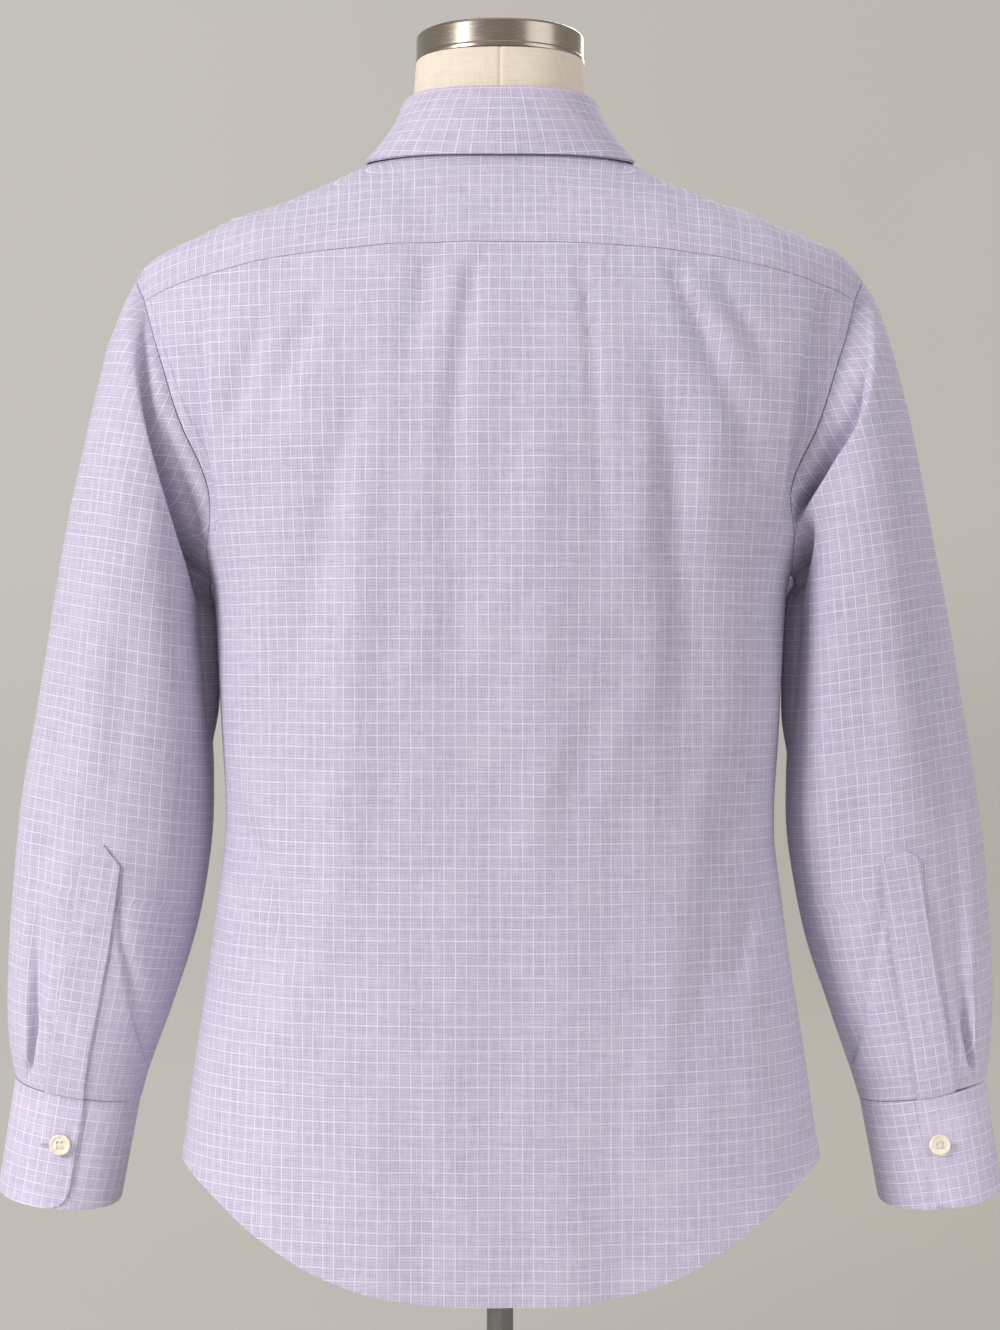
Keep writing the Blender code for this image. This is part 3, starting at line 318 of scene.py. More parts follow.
def ring(angle, half_width, side_z, back_y, back_z, front_y, front_z, bow=2.0, fill=1.0):
    """A superellipse seen from above; its height goes from the side's to the middle's as
    1 - (1 - |cos|^bow)^fill of its reach along Y."""
    across, along = np.sin(angle), np.cos(angle)
    reach = (np.abs(across) ** TORSO_ROUND + np.abs(along) ** TORSO_ROUND) ** (-1 / TORSO_ROUND)
    across, along = across * reach, along * reach
    is_back = along > 0
    y = np.where(is_back, back_y, front_y) * along
    climb = 1 - np.clip(1 - np.abs(along) ** bow, 0, 1) ** fill
    z = side_z + (np.where(is_back, back_z, front_z) - side_z) * climb
    return np.stack(np.broadcast_arrays(half_width * across, y, z + RISE), axis=-1)


def torso(angle, level):
    """The torso's own surface: a ring read from the table at each level."""
    return ring(angle, *np.moveaxis(smooth_rows(TORSO, level), -1, 0))


def torso_normal(angle, level, step=1e-3):
    """Its outward unit normal: the cross product of small steps round and up."""
    inside = np.clip(level, step, NECK - step)
    round_step = torso(angle + step, inside) - torso(angle - step, inside)
    up_step = torso(angle, inside + step) - torso(angle, inside - step)
    return -unit(np.cross(round_step, up_step))


def unit(vectors):
    """Each vector at a length of 1."""
    return vectors / np.maximum(np.linalg.norm(vectors, axis=-1, keepdims=True), 1e-12)


def armhole(turn):
    """(angle, level) of the left armhole: turn 0 is the underarm, a quarter the back, a half the tip."""
    reach = np.where(np.sin(turn) > 0, ARMHOLE_REACH["back"], ARMHOLE_REACH["front"])
    along = reach * np.sin(turn) * (1 + ARMHOLE_LOW * np.cos(turn))
    across = (1 - np.abs(along) ** TORSO_ROUND) ** (1 / TORSO_ROUND)
    middle, half = (UNDERARM + TIP) / 2, (TIP - UNDERARM) / 2
    return np.arctan2(across, along), middle - half * np.cos(turn)


def turn_at(level):
    """The back half's turn at which the armhole is at this level."""
    middle, half = (UNDERARM + TIP) / 2, (TIP - UNDERARM) / 2
    return math.acos((middle - level) / half)


def tube_ring(turn, out_x, out_z, in_x, in_z, depth, mid_y, back_drop):
    """A slanted superellipse through its innermost point (turn 0) and its outermost (half a turn)."""
    along, across = np.cos(turn), np.sin(turn)
    reach = (np.abs(along) ** SLEEVE_ROUND + np.abs(across) ** SLEEVE_ROUND) ** (-1 / SLEEVE_ROUND)
    along, across = along * reach, across * reach
    x = (out_x + in_x) / 2 - (out_x - in_x) / 2 * along
    z = (out_z + in_z) / 2 - (out_z - in_z) / 2 * along - back_drop * across
    return np.stack([x, mid_y + depth * across, z + RISE], axis=-1)


def spread(start, end, count):
    """count + 1 even places."""
    return np.linspace(start, end, count + 1)


def join(*parts):
    """Lines end to end, each shared point once."""
    return np.concatenate([parts[0]] + [part[1:] for part in parts[1:]])


def pairs(angle, level):
    return np.stack(np.broadcast_arrays(angle, level), axis=-1).astype(float)


def mirrored(points):
    return points * np.array([-1.0, 1.0, 1.0])


def for_side(side, points, normals, flat, shift=0.0):
    """A piece made in the left one's place: as it is, or mirrored for the right with its check shifted."""
    if side > 0:
        return points, normals, flat
    return mirrored(points), mirrored(normals), flat * np.array([-1.0, 1.0]) + shift


def travelled(points):
    """The distance from the first point along a line, or down each column of a grid."""
    steps = np.cumsum(np.linalg.norm(np.diff(points, axis=0), axis=-1), axis=0)
    return np.concatenate([np.zeros((1,) + steps.shape[1:]), steps])


def closed_ring(grid):
    """The grid with its first column once more at its end."""
    return np.concatenate([grid, grid[:, :1]], axis=1)


def numbered(points):
    """A number for each point of a grid, row by row."""
    return np.arange(points[..., 0].size).reshape(points.shape[:2])


def along_edges(low, high, left, right, climb=None):
    """A Coons patch: both ruled surfaces between opposite edges, less the bilinear one between corners.
    climb says how much each row takes after the high edge."""
    u = np.linspace(0, 1, len(low))[None, :, None]
    v = (np.linspace(0, 1, len(left)) if climb is None else climb)[:, None, None]
    corners = (1 - u) * (1 - v) * low[0] + u * (1 - v) * low[-1] + (1 - u) * v * high[0] + u * v * high[-1]
    return (1 - v) * low[None] + v * high[None] + (1 - u) * left[:, None] + u * right[:, None] - corners


def grid_normals(points, closed=False):
    """Unit normals: the cross product of the grid's gradients; closed joins the last column to the first."""
    if closed:
        points = np.concatenate([points[:, -1:], points, points[:, :1]], axis=1)
    normals = unit(np.cross(np.gradient(points, axis=1), np.gradient(points, axis=0)))
    return normals[:, 1:-1] if closed else normals


def draw_back(points, gaps):
    """Moves the grid's low, high, left and right edges inward by the gaps given for them."""
    moved = points.copy()
    for name, gap in gaps.items():
        into, source = (v if name in ("low", "high") else v.swapaxes(0, 1) for v in (moved, points))
        edge, inner = (0, 1) if name in ("low", "left") else (-1, -2)
        into[edge] += unit(source[inner] - source[edge]) * np.reshape(gap, (-1, 1))
    return moved


# ---- Drape ----
def creases(x, height, lines):
    """Depth of soft creases at each x and height, metres. A place's distance q from the nearest point of a
    line, over the half width on its side of it, gives depth * exp(-q^2) * (1 - 0.35 q^2): a trough with
    cloth pushed up a little along both its sides."""
    total = np.zeros(np.shape(x))
    for line in lines:
        rows = np.array(line, float) / 1000
        rows = smooth_rows(rows, np.linspace(0, len(rows) - 1, (len(rows) - 1) * 5 + 1))
        starts, steps = rows[:-1], np.diff(rows, axis=0)
        best = np.full(np.shape(x), np.inf)
        found = [np.zeros(np.shape(x)) for _ in range(4)]
        for start, step in zip(starts, steps):
            length = math.hypot(step[0], step[1])
            part = ((x - start[0]) * step[0] + (height - start[1]) * step[1]) / length**2
            part = np.clip(part, 0, 1)
            off_x, off_z = x - start[0] - part * step[0], height - start[1] - part * step[1]
            off = off_x**2 + off_z**2
            side = (-step[1] * off_x + step[0] * off_z) / length
            here = off < best
            best = np.where(here, off, best)
            for k, value in enumerate((side, *(start[2:, None, None] + step[2:, None, None] * part))):
                found[k] = np.where(here, value, found[k])
        side, plus, minus, depth = found
        q = best / np.maximum(np.where(side > 0, plus, minus), 1e-4) ** 2
        total += depth * np.exp(-q) * (1 - 0.35 * np.minimum(q, 4))
    return total


def ripples(across, along, seed, size=0.00035):
    """Low wrinkles: a sum of eight sine waves, longer up the cloth than across it, phases seeded."""
    chance = np.random.default_rng(seed)
    total = np.zeros(np.shape(across))
    for _ in range(8):
        slope, length = chance.uniform(-0.35, 0.35), chance.uniform(0.030, 0.085)
        phase = chance.uniform(0, 6.28)
        warp = 0.006 * np.sin(along * chance.uniform(12, 30) + phase * 2)
        total += np.sin((across + along * slope + warp) * 2 * math.pi / length + phase)
    return total * size / 2


def torso_depth(angle, level):
    """How far the torso's cloth is pressed in at each place: creases behind and in front, and ripples."""
    place = torso(angle, level)
    x, height = place[..., 0], place[..., 2] - RISE
    behind = eased(np.cos(angle) * 4 + 0.5)
    depth = creases(x, height, BACK_CREASES) * behind + creases(x, height, FRONT_CREASES) * (1 - behind)
    depth *= TORSO_DEPTH
    quiet = np.clip((NECK - level) / 1.5, 0, 1) * (1 - lapping(angle))
    return (depth + ripples(x + place[..., 1] * 0.6, height, 11)) * quiet


def draped(angle, level):
    """(points, normals) of the torso's cloth with its creases; the normals are the uncreased surface's."""
    normals = torso_normal(angle, level)
    return torso(angle, level) - normals * torso_depth(angle, level)[..., None], normals


def lapping(angle):
    """0 to 1 over the last stretch towards the centre front, where one front lies on the other."""
    return eased((np.abs(angle) - math.radians(150)) / math.radians(18))


def sleeve(turn, rings, side=1):
    """The left sleeve's middle surface, its first ring on the creased armhole of that side."""
    angle, level = armhole(turn)
    depth = torso_depth(side * angle[None], level[None])[0][:, None]
    seam = torso(angle, level) - torso_normal(angle, level) * depth
    outlines = np.stack([seam] + [tube_ring(turn, *row) for row in SLEEVE])
    return smooth_rows(outlines, rings)


def sleeve_depth(points, turn, rings, side):
    """The sleeve's creases at each point, from its own back and front tables."""
    x, height = points[..., 0] * side, points[..., 2] - RISE
    behind = np.clip(np.sin(turn)[None] * 5 - 0.15, 0, 1) * np.ones_like(x)
    back = creases(x, height, LEFT_SLEEVE_BACK if side > 0 else RIGHT_SLEEVE_BACK)
    shift_x, shift_z = (0.003, 0.008) if side < 0 else (0, 0)
    front = creases(points[..., 0] + shift_x, height + shift_z, SLEEVE_FRONT)
    start = np.clip(rings / 0.35, 0, 1)[:, None]
    return (back * behind + front * (1 - behind) + ripples(x, height, 23 + side, 0.0004)) * start


# ---- Meshes ----
def laid_flat(points, normals, up, start):
    """(across, along) in metres with the grid pressed flat: steps along the surface are measured along
    and across the grain, whose direction is up, and summed down the start column, then along each row."""
    along = unit(up - normals * (up * normals).sum(axis=-1, keepdims=True))
    frame_pair = np.stack([np.cross(normals, along), along], axis=-2)

    def steps(axis):
        pair = frame_pair.swapaxes(0, axis)
        middle = ((pair[:-1] + pair[1:]) / 2).swapaxes(0, axis)
        return np.einsum("...ij,...j->...i", middle, np.diff(points, axis=axis))

    down = np.concatenate([np.zeros((1, 2)), np.cumsum(steps(0)[:, start], axis=0)])
    sideways = np.cumsum(steps(1), axis=1)
    sideways = np.concatenate([np.zeros((len(points), 1, 2)), sideways], axis=1)
    return sideways - sideways[:, start : start + 1] + down[:, None]


def rolled_flat(points, outer):
    """A sleeve's (across, along) in metres: along reads the outer column's own length at the same distance
    down the sleeve's axis, and across is the distance round the level cut there, from the outer column.
    Where the sleeve is gathered to its cuff, across keeps the forearm's own steady taper."""
    axis = unit(np.array(SLEEVE_AXIS))
    down = np.maximum.accumulate(points @ axis, axis=0)
    length = travelled(points[:, outer])
    places = np.concatenate([[down[0, outer] - 1], down[:, outer], [down[-1, outer] + 1]])
    along = np.interp(down, places, np.concatenate([[-1], length, [length[-1] + 1]]))
    cuts = np.linspace(down.min(), down.max(), 260)
    columns = zip(down.T, points.swapaxes(0, 1))
    crossed = np.stack([[np.interp(cuts, d, p[:, k]) for k in range(3)] for d, p in columns])
    moves = np.diff(crossed, axis=0)
    moves -= np.einsum("k,jkc->jc", axis, moves)[:, None] * axis[:, None]
    around = np.concatenate([np.zeros((1, len(cuts))), np.cumsum(np.linalg.norm(moves, axis=1), axis=0)])
    girth = around[-1]
    first, last = (cuts[int(part * len(cuts))] for part in FOREARM)
    fit = (cuts > first) & (cuts < last)
    straight = np.polyval(np.polyfit(cuts[fit], girth[fit], 1), cuts)
    around = (around[outer] - around) * np.where(cuts > cuts[fit][-1], straight / girth, 1)
    across = np.stack([np.interp(d, cuts, row) for d, row in zip(down.T, around)], axis=1)
    return np.stack([across, -along], axis=-1)


def banded_flat(points, start):
    """(across, along) in metres of a band whose grain follows its own edges: the mean length round it from
    the start column, and each column's own length from the first row."""
    across = travelled(points.swapaxes(0, 1)).mean(axis=1)
    down = travelled(points)
    return np.stack([np.broadcast_to(across - across[start], down.shape), down], axis=-1)


def mesh_object(name, points, quads, flat, look):
    """A smooth mesh object from arrays of points, quads and each corner's UV."""
    mesh = bpy.data.meshes.new(name)
    mesh.vertices.add(len(points))
    mesh.vertices.foreach_set("co", np.ascontiguousarray(points, np.float32).ravel())
    mesh.loops.add(quads.size)
    mesh.loops.foreach_set("vertex_index", quads.ravel().astype(np.int32))
    mesh.polygons.add(len(quads))
    mesh.polygons.foreach_set("loop_start", np.arange(0, quads.size, 4, dtype=np.int32))
    if flat is not None:
        grain = mesh.uv_layers.new(name="Grain").data
        grain.foreach_set("uv", np.ascontiguousarray(flat, np.float32).ravel())
    mesh.update(calc_edges=True)
    mesh.validate()
    mesh.shade_smooth()
    mesh.set_sharp_from_angle(angle=math.radians(48))
    mesh.materials.append(look)
    made = bpy.data.objects.new(name, mesh)
    bpy.context.scene.collection.objects.link(made)
    return made


def corners_of(number):
    """The four corners' numbers of each cell of a grid."""
    cells = (number[:-1, :-1], number[:-1, 1:], number[1:, 1:], number[1:, :-1])
    return np.stack(cells, axis=-1).reshape(-1, 4)


def shell(name, points, normals, flat, thickness, look, closed=False):
    """A cloth wall: the grid moved out and in by half its thickness, with its edges closed by rims.
    A closed grid's flat map has one column more than its points, for the second side of its seam."""
    rows, columns = points.shape[:2]
    half = normals * np.asarray(thickness)[..., None] / 2
    every = np.concatenate([(points + half).reshape(-1, 3), (points - half).reshape(-1, 3)])
    number = np.arange(rows * columns).reshape(rows, columns)
    if closed:
        number = closed_ring(number)
    spots = np.arange(flat.shape[0] * flat.shape[1]).reshape(flat.shape[:2])
    quads, places = [], []
    for grid, into in ((number, quads), (spots, places)):
        far = rows * columns if grid is number else 0
        outer = corners_of(grid)
        into += [outer, outer[:, ::-1] + far]
        rims = [grid[0], grid[-1, ::-1]] + ([] if closed else [grid[::-1, 0], grid[:, -1]])
        into += [np.stack([rim[1:], rim[:-1], rim[:-1] + far, rim[1:] + far], axis=1) for rim in rims]
    quads, places = np.concatenate(quads), np.concatenate(places)
    first = every[quads[: (rows - 1) * (columns - 1)]]
    facing = np.cross(first[:, 1] - first[:, 0], first[:, 3] - first[:, 0])
    if (facing * normals[:-1, :-1].reshape(-1, 3)[: len(facing)]).sum() < 0:
        quads, places = quads[:, ::-1], places[:, ::-1]
    return mesh_object(name, every, quads, flat.reshape(-1, 2)[places], look)


def kept(made, node_name):
    """Rides the piece on the body, in place of its CAD node if it has one."""
    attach(made, "root")
    if node_name:
        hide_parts(node_name)
    return made


def capsules(centre, run, out, length, radius, sides=6):
    """(points, quads) of one capsule at each centre, along run and lying under out: its radius goes as the
    square root of 1 - t^4 along it, and its ends dip into the cloth as t^4."""
    t = np.array([-1.0, -0.8, -0.3, 0.3, 0.8, 1.0])
    swell, dip = np.sqrt(np.clip(1 - t**4, 0.02, 1)), -0.35 * t**4
    around = np.arange(sides) * 2 * math.pi / sides
    beside = np.cross(out, run)
    points = (
        centre[:, None, None]
        + run[:, None, None] * (t * length / 2)[None, :, None, None]
        + out[:, None, None] * (dip * radius * 2)[None, :, None, None]
        + radius * swell[None, :, None, None] * (
            beside[:, None, None] * np.cos(around)[None, None, :, None] * 1.25
            + out[:, None, None] * np.sin(around)[None, None, :, None]
        )
    )
    number = np.arange(points[..., 0].size).reshape(points.shape[:3])
    wrapped = np.concatenate([number, number[..., :1]], axis=2)
    low, high = wrapped[:, :-1], wrapped[:, 1:]
    cells = (high[..., :-1], high[..., 1:], low[..., 1:], low[..., :-1])
    quads = [np.stack(cells, axis=-1).reshape(-1, 4)]
    for tip in (number[:, 0], number[:, -1, ::-1]):
        quads += [tip[:, [0, 1, 2, 3]], tip[:, [0, 3, 4, 5]]]
    return points.reshape(-1, 3), np.concatenate(quads)


def gathered(parts):
    """Joins (points, quads) lists into one."""
    counts = np.cumsum([0] + [len(points) for points, _ in parts])
    return (
        np.concatenate([points for points, _ in parts]),
        np.concatenate([quads + count for (_, quads), count in zip(parts, counts)]),
    )


def sampled(points, normals, places):
    """(points, normals) of a line at these arc lengths."""
    reach = travelled(points)
    return [np.stack([np.interp(places, reach, column) for column in v.T], axis=1) for v in (points, normals)]


def threads(name, rows, look, length=0.0021, pitch=0.0028, radius=0.0002):
    """Rows of stitches: capsules spaced evenly by arc length along each line of (points, normals)."""
    parts = []
    for points, normals in rows:
        places = np.arange(pitch / 2, travelled(points)[-1], pitch)
        centre, out = sampled(points, normals, places)
        before, after = (sampled(points, normals, places + step)[0] for step in (-pitch / 3, pitch / 3))
        run = unit(after - before)
        out = unit(out - run * (out * run).sum(axis=1, keepdims=True))
        parts.append(capsules(centre, run, out, length, radius))
    return kept(mesh_object(name, *gathered(parts), None, look), None)


def corded(name, paths, look, radius, bumps, sides=6):
    """Closed worked loops, such as buttonholes: a tube round each path of (points, normals), its radius
    swelling as 1 + 0.3 |sin| once for each thread."""
    every, quads, count = [], [], 0
    around = np.arange(sides) * 2 * math.pi / sides
    for points, normals in paths:
        steps = len(points)
        run = unit(np.roll(points, -1, axis=0) - np.roll(points, 1, axis=0))
        beside = unit(np.cross(normals, run))
        swell = radius * (1 + 0.3 * np.abs(np.sin(np.arange(steps) * math.pi * bumps / steps)))[:, None, None]
        tube = points[:, None] + swell * (
            beside[:, None] * np.cos(around)[None, :, None] + normals[:, None] * np.sin(around)[None, :, None]
        )
        number = np.arange(steps * sides).reshape(steps, sides) + count
        number = closed_ring(np.concatenate([number, number[:1]], axis=0))
        every.append(tube.reshape(-1, 3))
        quads.append(corners_of(number)[:, ::-1])
        count += steps * sides
    return kept(mesh_object(name, np.concatenate(every), np.concatenate(quads), None, look), None)


# ---- Seam lines and gaps, as in the CAD part ----
BACK_TURN = turn_at(YOKE_SEAM)
FRONT_TURN = 2 * math.pi - turn_at(FRONT_SEAM_LEVEL)
SIDE_STEPS, ARM_STEPS, YOKE_ARM_STEPS, ACROSS_STEPS, SEAM_STEPS, NECK_STEPS = 92, 54, 26, 150, 34, 40
SIDE_GAPS = np.concatenate([np.full(SIDE_STEPS + 1, SEAM / 2), np.zeros(ARM_STEPS)])
SIDES = (("left", 1), ("right", -1))


def armhole_line(start, end, steps):
    return np.stack(armhole(spread(start, end, steps)), axis=-1)


def side_seam():
    return pairs(math.pi / 2, spread(0, UNDERARM, SIDE_STEPS))


def yoke_end():
    """The torso's angle where the yoke's back seam meets the armhole."""
    return armhole_line(0, BACK_TURN, ARM_STEPS)[-1, 0]


def yoke_turns():
    """The armhole's turns along the yoke, from the front seam over the tip to the back seam."""
    return join(spread(FRONT_TURN, math.pi, YOKE_ARM_STEPS), spread(math.pi, BACK_TURN, YOKE_ARM_STEPS))


def front_seam():
    low = armhole_line(2 * math.pi, FRONT_TURN, ARM_STEPS)[-1]
    return np.linspace(low, (FRONT_SEAM_NECK, NECK), SEAM_STEPS + 1)


def armhole_bend(turn):
    """The gap that keeps the two cloths apart where the sleeve bends off the panel, the direction back
    over the panel, and the direction out along the sleeve."""
    place, normal = torso(*armhole(turn)), torso_normal(*armhole(turn))
    ahead = torso(*armhole(turn + 0.01)) - torso(*armhole(turn - 0.01))
    middle = torso(*armhole(np.linspace(0, 2 * math.pi, 24, endpoint=False))).mean(axis=0)
    back = unit(np.cross(normal, ahead))
    back *= np.sign((back * (place - middle)).sum(axis=-1, keepdims=True))
    outlines = np.stack([place] + [tube_ring(turn, *row) for row in SLEEVE])
    out = unit(smooth_rows(outlines, np.array([0.5]))[0] - place)
    half_bend = np.arccos(np.clip(-(back * out).sum(axis=-1), -1, 1)) / 2
    gap = SEAM / 2 + CLOTH / 2 * np.tan(np.minimum(half_bend, 1.2)) + 0.0002
    return gap[:, None], back, out


def clustered(start, end, count, spots):
    """count + 1 places from start to end, closer together about each (centre, half width, gain) spot."""
    fine = np.linspace(start, end, 2001)
    density = 1 + sum(gain * np.exp(-(((fine - centre) / width) ** 2)) for centre, width, gain in spots)
    total = np.concatenate([[0], np.cumsum((density[1:] + density[:-1]) / 2)])
    return np.interp(np.linspace(0, total[-1], count + 1), total, fine)


def ease_in(points, edge, shift, count=6):
    """Moves one edge of a grid, and the next few rows or columns less and less. edge picks them by number."""
    for k in range(count):
        points[edge(k)] += shift * (1 - k / count) ** 2


# ---- Materials ----
def node(tree, kind, inputs=None, **settings):
    """Adds a shader node; a socket given as an input is linked, and anything else is its value."""
    made = tree.nodes.new("ShaderNode" + kind)
    for name, value in settings.items():
        setattr(made, name, value)
    for name, value in (inputs or {}).items():
        plug(tree, made.inputs[name], value)
    return made


def plug(tree, socket, value):
    if isinstance(value, bpy.types.NodeSocket):
        tree.links.new(value, socket)
    else:
        socket.default_value = value


def sums(tree, operation, *values):
    """One Math node on these values."""
    made = node(tree, "Math", operation=operation)
    for socket, value in zip(made.inputs, values):
        plug(tree, socket, value)
    return made.outputs[0]


def times(tree, *values):
    return sums(tree, "MULTIPLY", *values)


def plus(tree, *values):
    return sums(tree, "ADD", *values)


def ranged(tree, value, low, high, to_low=0.0, to_high=1.0):
    inputs = {"Value": value, "From Min": low, "From Max": high, "To Min": to_low, "To Max": to_high}
    return node(tree, "MapRange", inputs, interpolation_type="SMOOTHSTEP").outputs[0]


def noise(tree, place, scale, detail=2.0, stretch=(1, 1, 1)):
    mapped = node(tree, "Mapping", {"Vector": place, "Scale": stretch}).outputs[0]
    return node(tree, "TexNoise", {"Vector": mapped, "Scale": scale, "Detail": detail}).outputs["Fac"]


def blended(tree, amount, first, second):
    made = node(tree, "Mix", data_type="RGBA")
    for socket, value in ((made.inputs[0], amount), (made.inputs[6], first), (made.inputs[7], second)):
        plug(tree, socket, value)
    return made.outputs[2]


def group(name, inputs, outputs, build):
    """A shader node group with named sockets; build returns what each output takes."""
    tree = bpy.data.node_groups.new(name, "ShaderNodeTree")
    for label, kind, default in inputs:
        socket = tree.interface.new_socket(label, in_out="INPUT", socket_type="NodeSocket" + kind)
        if default is not None:
            socket.default_value = default
    for label, kind in outputs:
        tree.interface.new_socket(label, in_out="OUTPUT", socket_type="NodeSocket" + kind)
    given, wanted = tree.nodes.new("NodeGroupInput"), tree.nodes.new("NodeGroupOutput")
    for label, socket in build(tree, given.outputs).items():
        tree.links.new(socket, wanted.inputs[label])
    return tree


def thread_streaks(tree, given):
    """Uneven yarn: noise drawn out along each of the two thread directions."""
    place, fine = given["Place"], given["Fineness"]
    warp = noise(tree, place, fine, 2.0, (1, 0.07, 1))
    weft = noise(tree, place, fine, 2.0, (0.07, 1, 1))
    return {"Both": times(tree, plus(tree, warp, weft), 0.5)}


def woven_check(tree, given):
    """Light lines every pitch both ways, fainter ones halfway, each broken by slubs and drifting a little,
    over threads that cross one over and one under."""
    place = node(tree, "TexNoise", {"Vector": given["Place"], "Scale": 26.0, "Detail": 1.0}).outputs["Color"]
    for operation, other in (
        ("SUBTRACT", (0.5, 0.5, 0.5)), ("MULTIPLY", (0.0011, 0.0011, 0.0)), ("ADD", given["Place"])
    ):
        place = node(tree, "VectorMath", {0: place, 1: other}, operation=operation).outputs[0]
    split = node(tree, "SeparateXYZ", {0: place})
    width, lines, weave, darks = given["Line"], [], [], []
    for axis, label, stretch in ((0, "Across", (1, 0.16, 1)), (1, "Along", (0.16, 1, 1))):
        half = times(tree, given[label], 0.5)
        near = sums(tree, "PINGPONG", split.outputs[axis], half)
        main = ranged(tree, near, times(tree, width, 0.15), times(tree, width, 0.85), 1.0, 0.0)
        quarter = times(tree, half, 0.25)
        faint = ranged(tree, sums(tree, "PINGPONG", split.outputs[axis], quarter), 0.0, quarter, 0.34, 0.0)
        slub = ranged(tree, noise(tree, given["Place"], 330.0, 3.0, stretch), 0.32, 0.66, 0.55, 1.12)
        lines.append(times(tree, plus(tree, main, faint), slub))
        beside = sums(tree, "ABSOLUTE", sums(tree, "SUBTRACT", near, times(tree, width, 1.35)))
        fringe = ranged(tree, beside, 0.0, times(tree, width, 0.6), 1.0, 0.0)
        patches = ranged(tree, noise(tree, given["Place"], 260.0, 2.0, stretch), 0.4, 0.62)
        darks.append(times(tree, fringe, patches))
        weave.append(sums(tree, "SINE", times(tree, split.outputs[axis], 2 * math.pi / THREAD_PITCH)))
    over = times(tree, *weave)
    both = plus(tree, *lines)
    return {
        "Lines": sums(tree, "MINIMUM", both, 1.25),
        "Darks": sums(tree, "MAXIMUM", *darks),
        "Over": over,
        "Height": plus(tree, times(tree, both, 0.5), times(tree, over, 0.3)),
    }


def make_groups():
    """The two weave groups, built once."""
    if "Thread streaks" in bpy.data.node_groups:
        return
    group(
        "Thread streaks",
        [("Place", "Vector", None), ("Fineness", "Float", 1200.0)],
        [("Both", "Float")],
        thread_streaks,
    )
    group(
        "Woven check",
        [("Place", "Vector", None), ("Across", "Float", 0.0071), ("Along", "Float", 0.0077),
         ("Line", "Float", 0.0006)],
        [("Lines", "Float"), ("Darks", "Float"), ("Over", "Float"), ("Height", "Float")],
        woven_check,
    )


def use_group(tree, name, inputs):
    made = node(tree, "Group", node_tree=bpy.data.node_groups[name])
    for label, value in inputs.items():
        plug(tree, made.inputs[label], value)
    return made.outputs


def started(name, roughness, **constants):
    """A new material and its Principled shader, with constants on the shader's own sockets."""
    made = bpy.data.materials.new(name)
    made.use_nodes = True
    shader = made.node_tree.nodes["Principled BSDF"]
    shader.inputs["Roughness"].default_value = roughness
    for label, value in constants.items():
        shader.inputs[label.replace("_", " ")].default_value = value
    return made, made.node_tree, shader


def painted(tree, shader, colour):
    tree.links.new(colour, shader.inputs["Base Color"])


def bumped(tree, shader, height, distance, strength=1.0):
    bump = node(tree, "Bump", {"Height": height, "Distance": distance, "Strength": strength})
    tree.links.new(bump.outputs[0], shader.inputs["Normal"])


def rgba(colour):
    return (*colour, 1.0)


def built_once(build):
    """Calls build the first time only, and then finds the material that has its name."""
    return lambda: bpy.data.materials.get(build.__name__) or build()


def yarn_tone(tree, place, fine, coarse, share):
    """(tone, coarser streaks): thread streaks of two sizes, mixed by the finer's share."""
    first, second = (
        use_group(tree, "Thread streaks", {"Place": place, "Fineness": v})["Both"] for v in (fine, coarse))
    return plus(tree, times(tree, first, share), times(tree, second, 1 - share)), second


@built_once
def checked_cloth():
    """End-on-end shirting: a lilac ground with a fine light check, uneven yarn and a soft dry sheen."""
    sizes = bpy.context.scene.shirt_cloth
    made, tree, shader = started(
        "checked_cloth", 0.82, Sheen_Weight=0.18, Sheen_Roughness=0.45, Specular_IOR_Level=0.25)
    place = node(tree, "UVMap", uv_map="Grain").outputs[0]
    check = use_group(tree, "Woven check", {
        "Place": place, "Across": sizes.pitch_across, "Along": sizes.pitch_along, "Line": sizes.line_width})
    tone, coarse = yarn_tone(tree, place, 1500.0, 420.0, 0.6)
    ground = blended(tree, ranged(tree, tone, 0.40, 0.60), rgba(sizes.shade), rgba(sizes.ground))
    pinkish = ranged(tree, noise(tree, place, 22.0, 2.0), 0.48, 0.72, 0.0, 0.30)
    ground = blended(tree, pinkish, ground, rgba(sizes.blush))
    ground = blended(tree, times(tree, check["Darks"], 0.30), ground, rgba(sizes.shade))
    ground = blended(tree, ranged(tree, check["Over"], -1.0, 1.0, 0.0, 0.10), ground, rgba(sizes.light))
    painted(tree, shader, blended(tree, times(tree, check["Lines"], 0.54), ground, rgba(sizes.light)))
    bumped(tree, shader, plus(tree, check["Height"], times(tree, coarse, 1.6)), 0.00022, 0.6)
    return made


def plain_look(name, roughness, first, second, fineness, distance, **constants):
    """A finish of two colours mixed by noise on the object's own coordinates, with the same noise as bump."""
    made, tree, shader = started(name, roughness, **constants)
    grain = noise(tree, node(tree, "TexCoord").outputs["Object"], fineness, 3.0)
    painted(tree, shader, blended(tree, ranged(tree, grain, 0.35, 0.65), rgba(first), rgba(second)))
    gloss = ranged(tree, grain, 0.35, 0.65, roughness * 0.88, roughness * 1.12)
    tree.links.new(gloss, shader.inputs["Roughness"])
    bumped(tree, shader, grain, distance, 0.5)
    return made


@built_once
def shirt_thread():
    return plain_look(
        "shirt_thread", 0.6, (0.50, 0.45, 0.58), (0.66, 0.61, 0.73), 4000.0, 0.00005, Sheen_Weight=0.2)


@built_once
def button_thread():
    return plain_look(
        "button_thread", 0.6, (0.72, 0.68, 0.60), (0.86, 0.83, 0.76), 5000.0, 0.00005, Sheen_Weight=0.2)


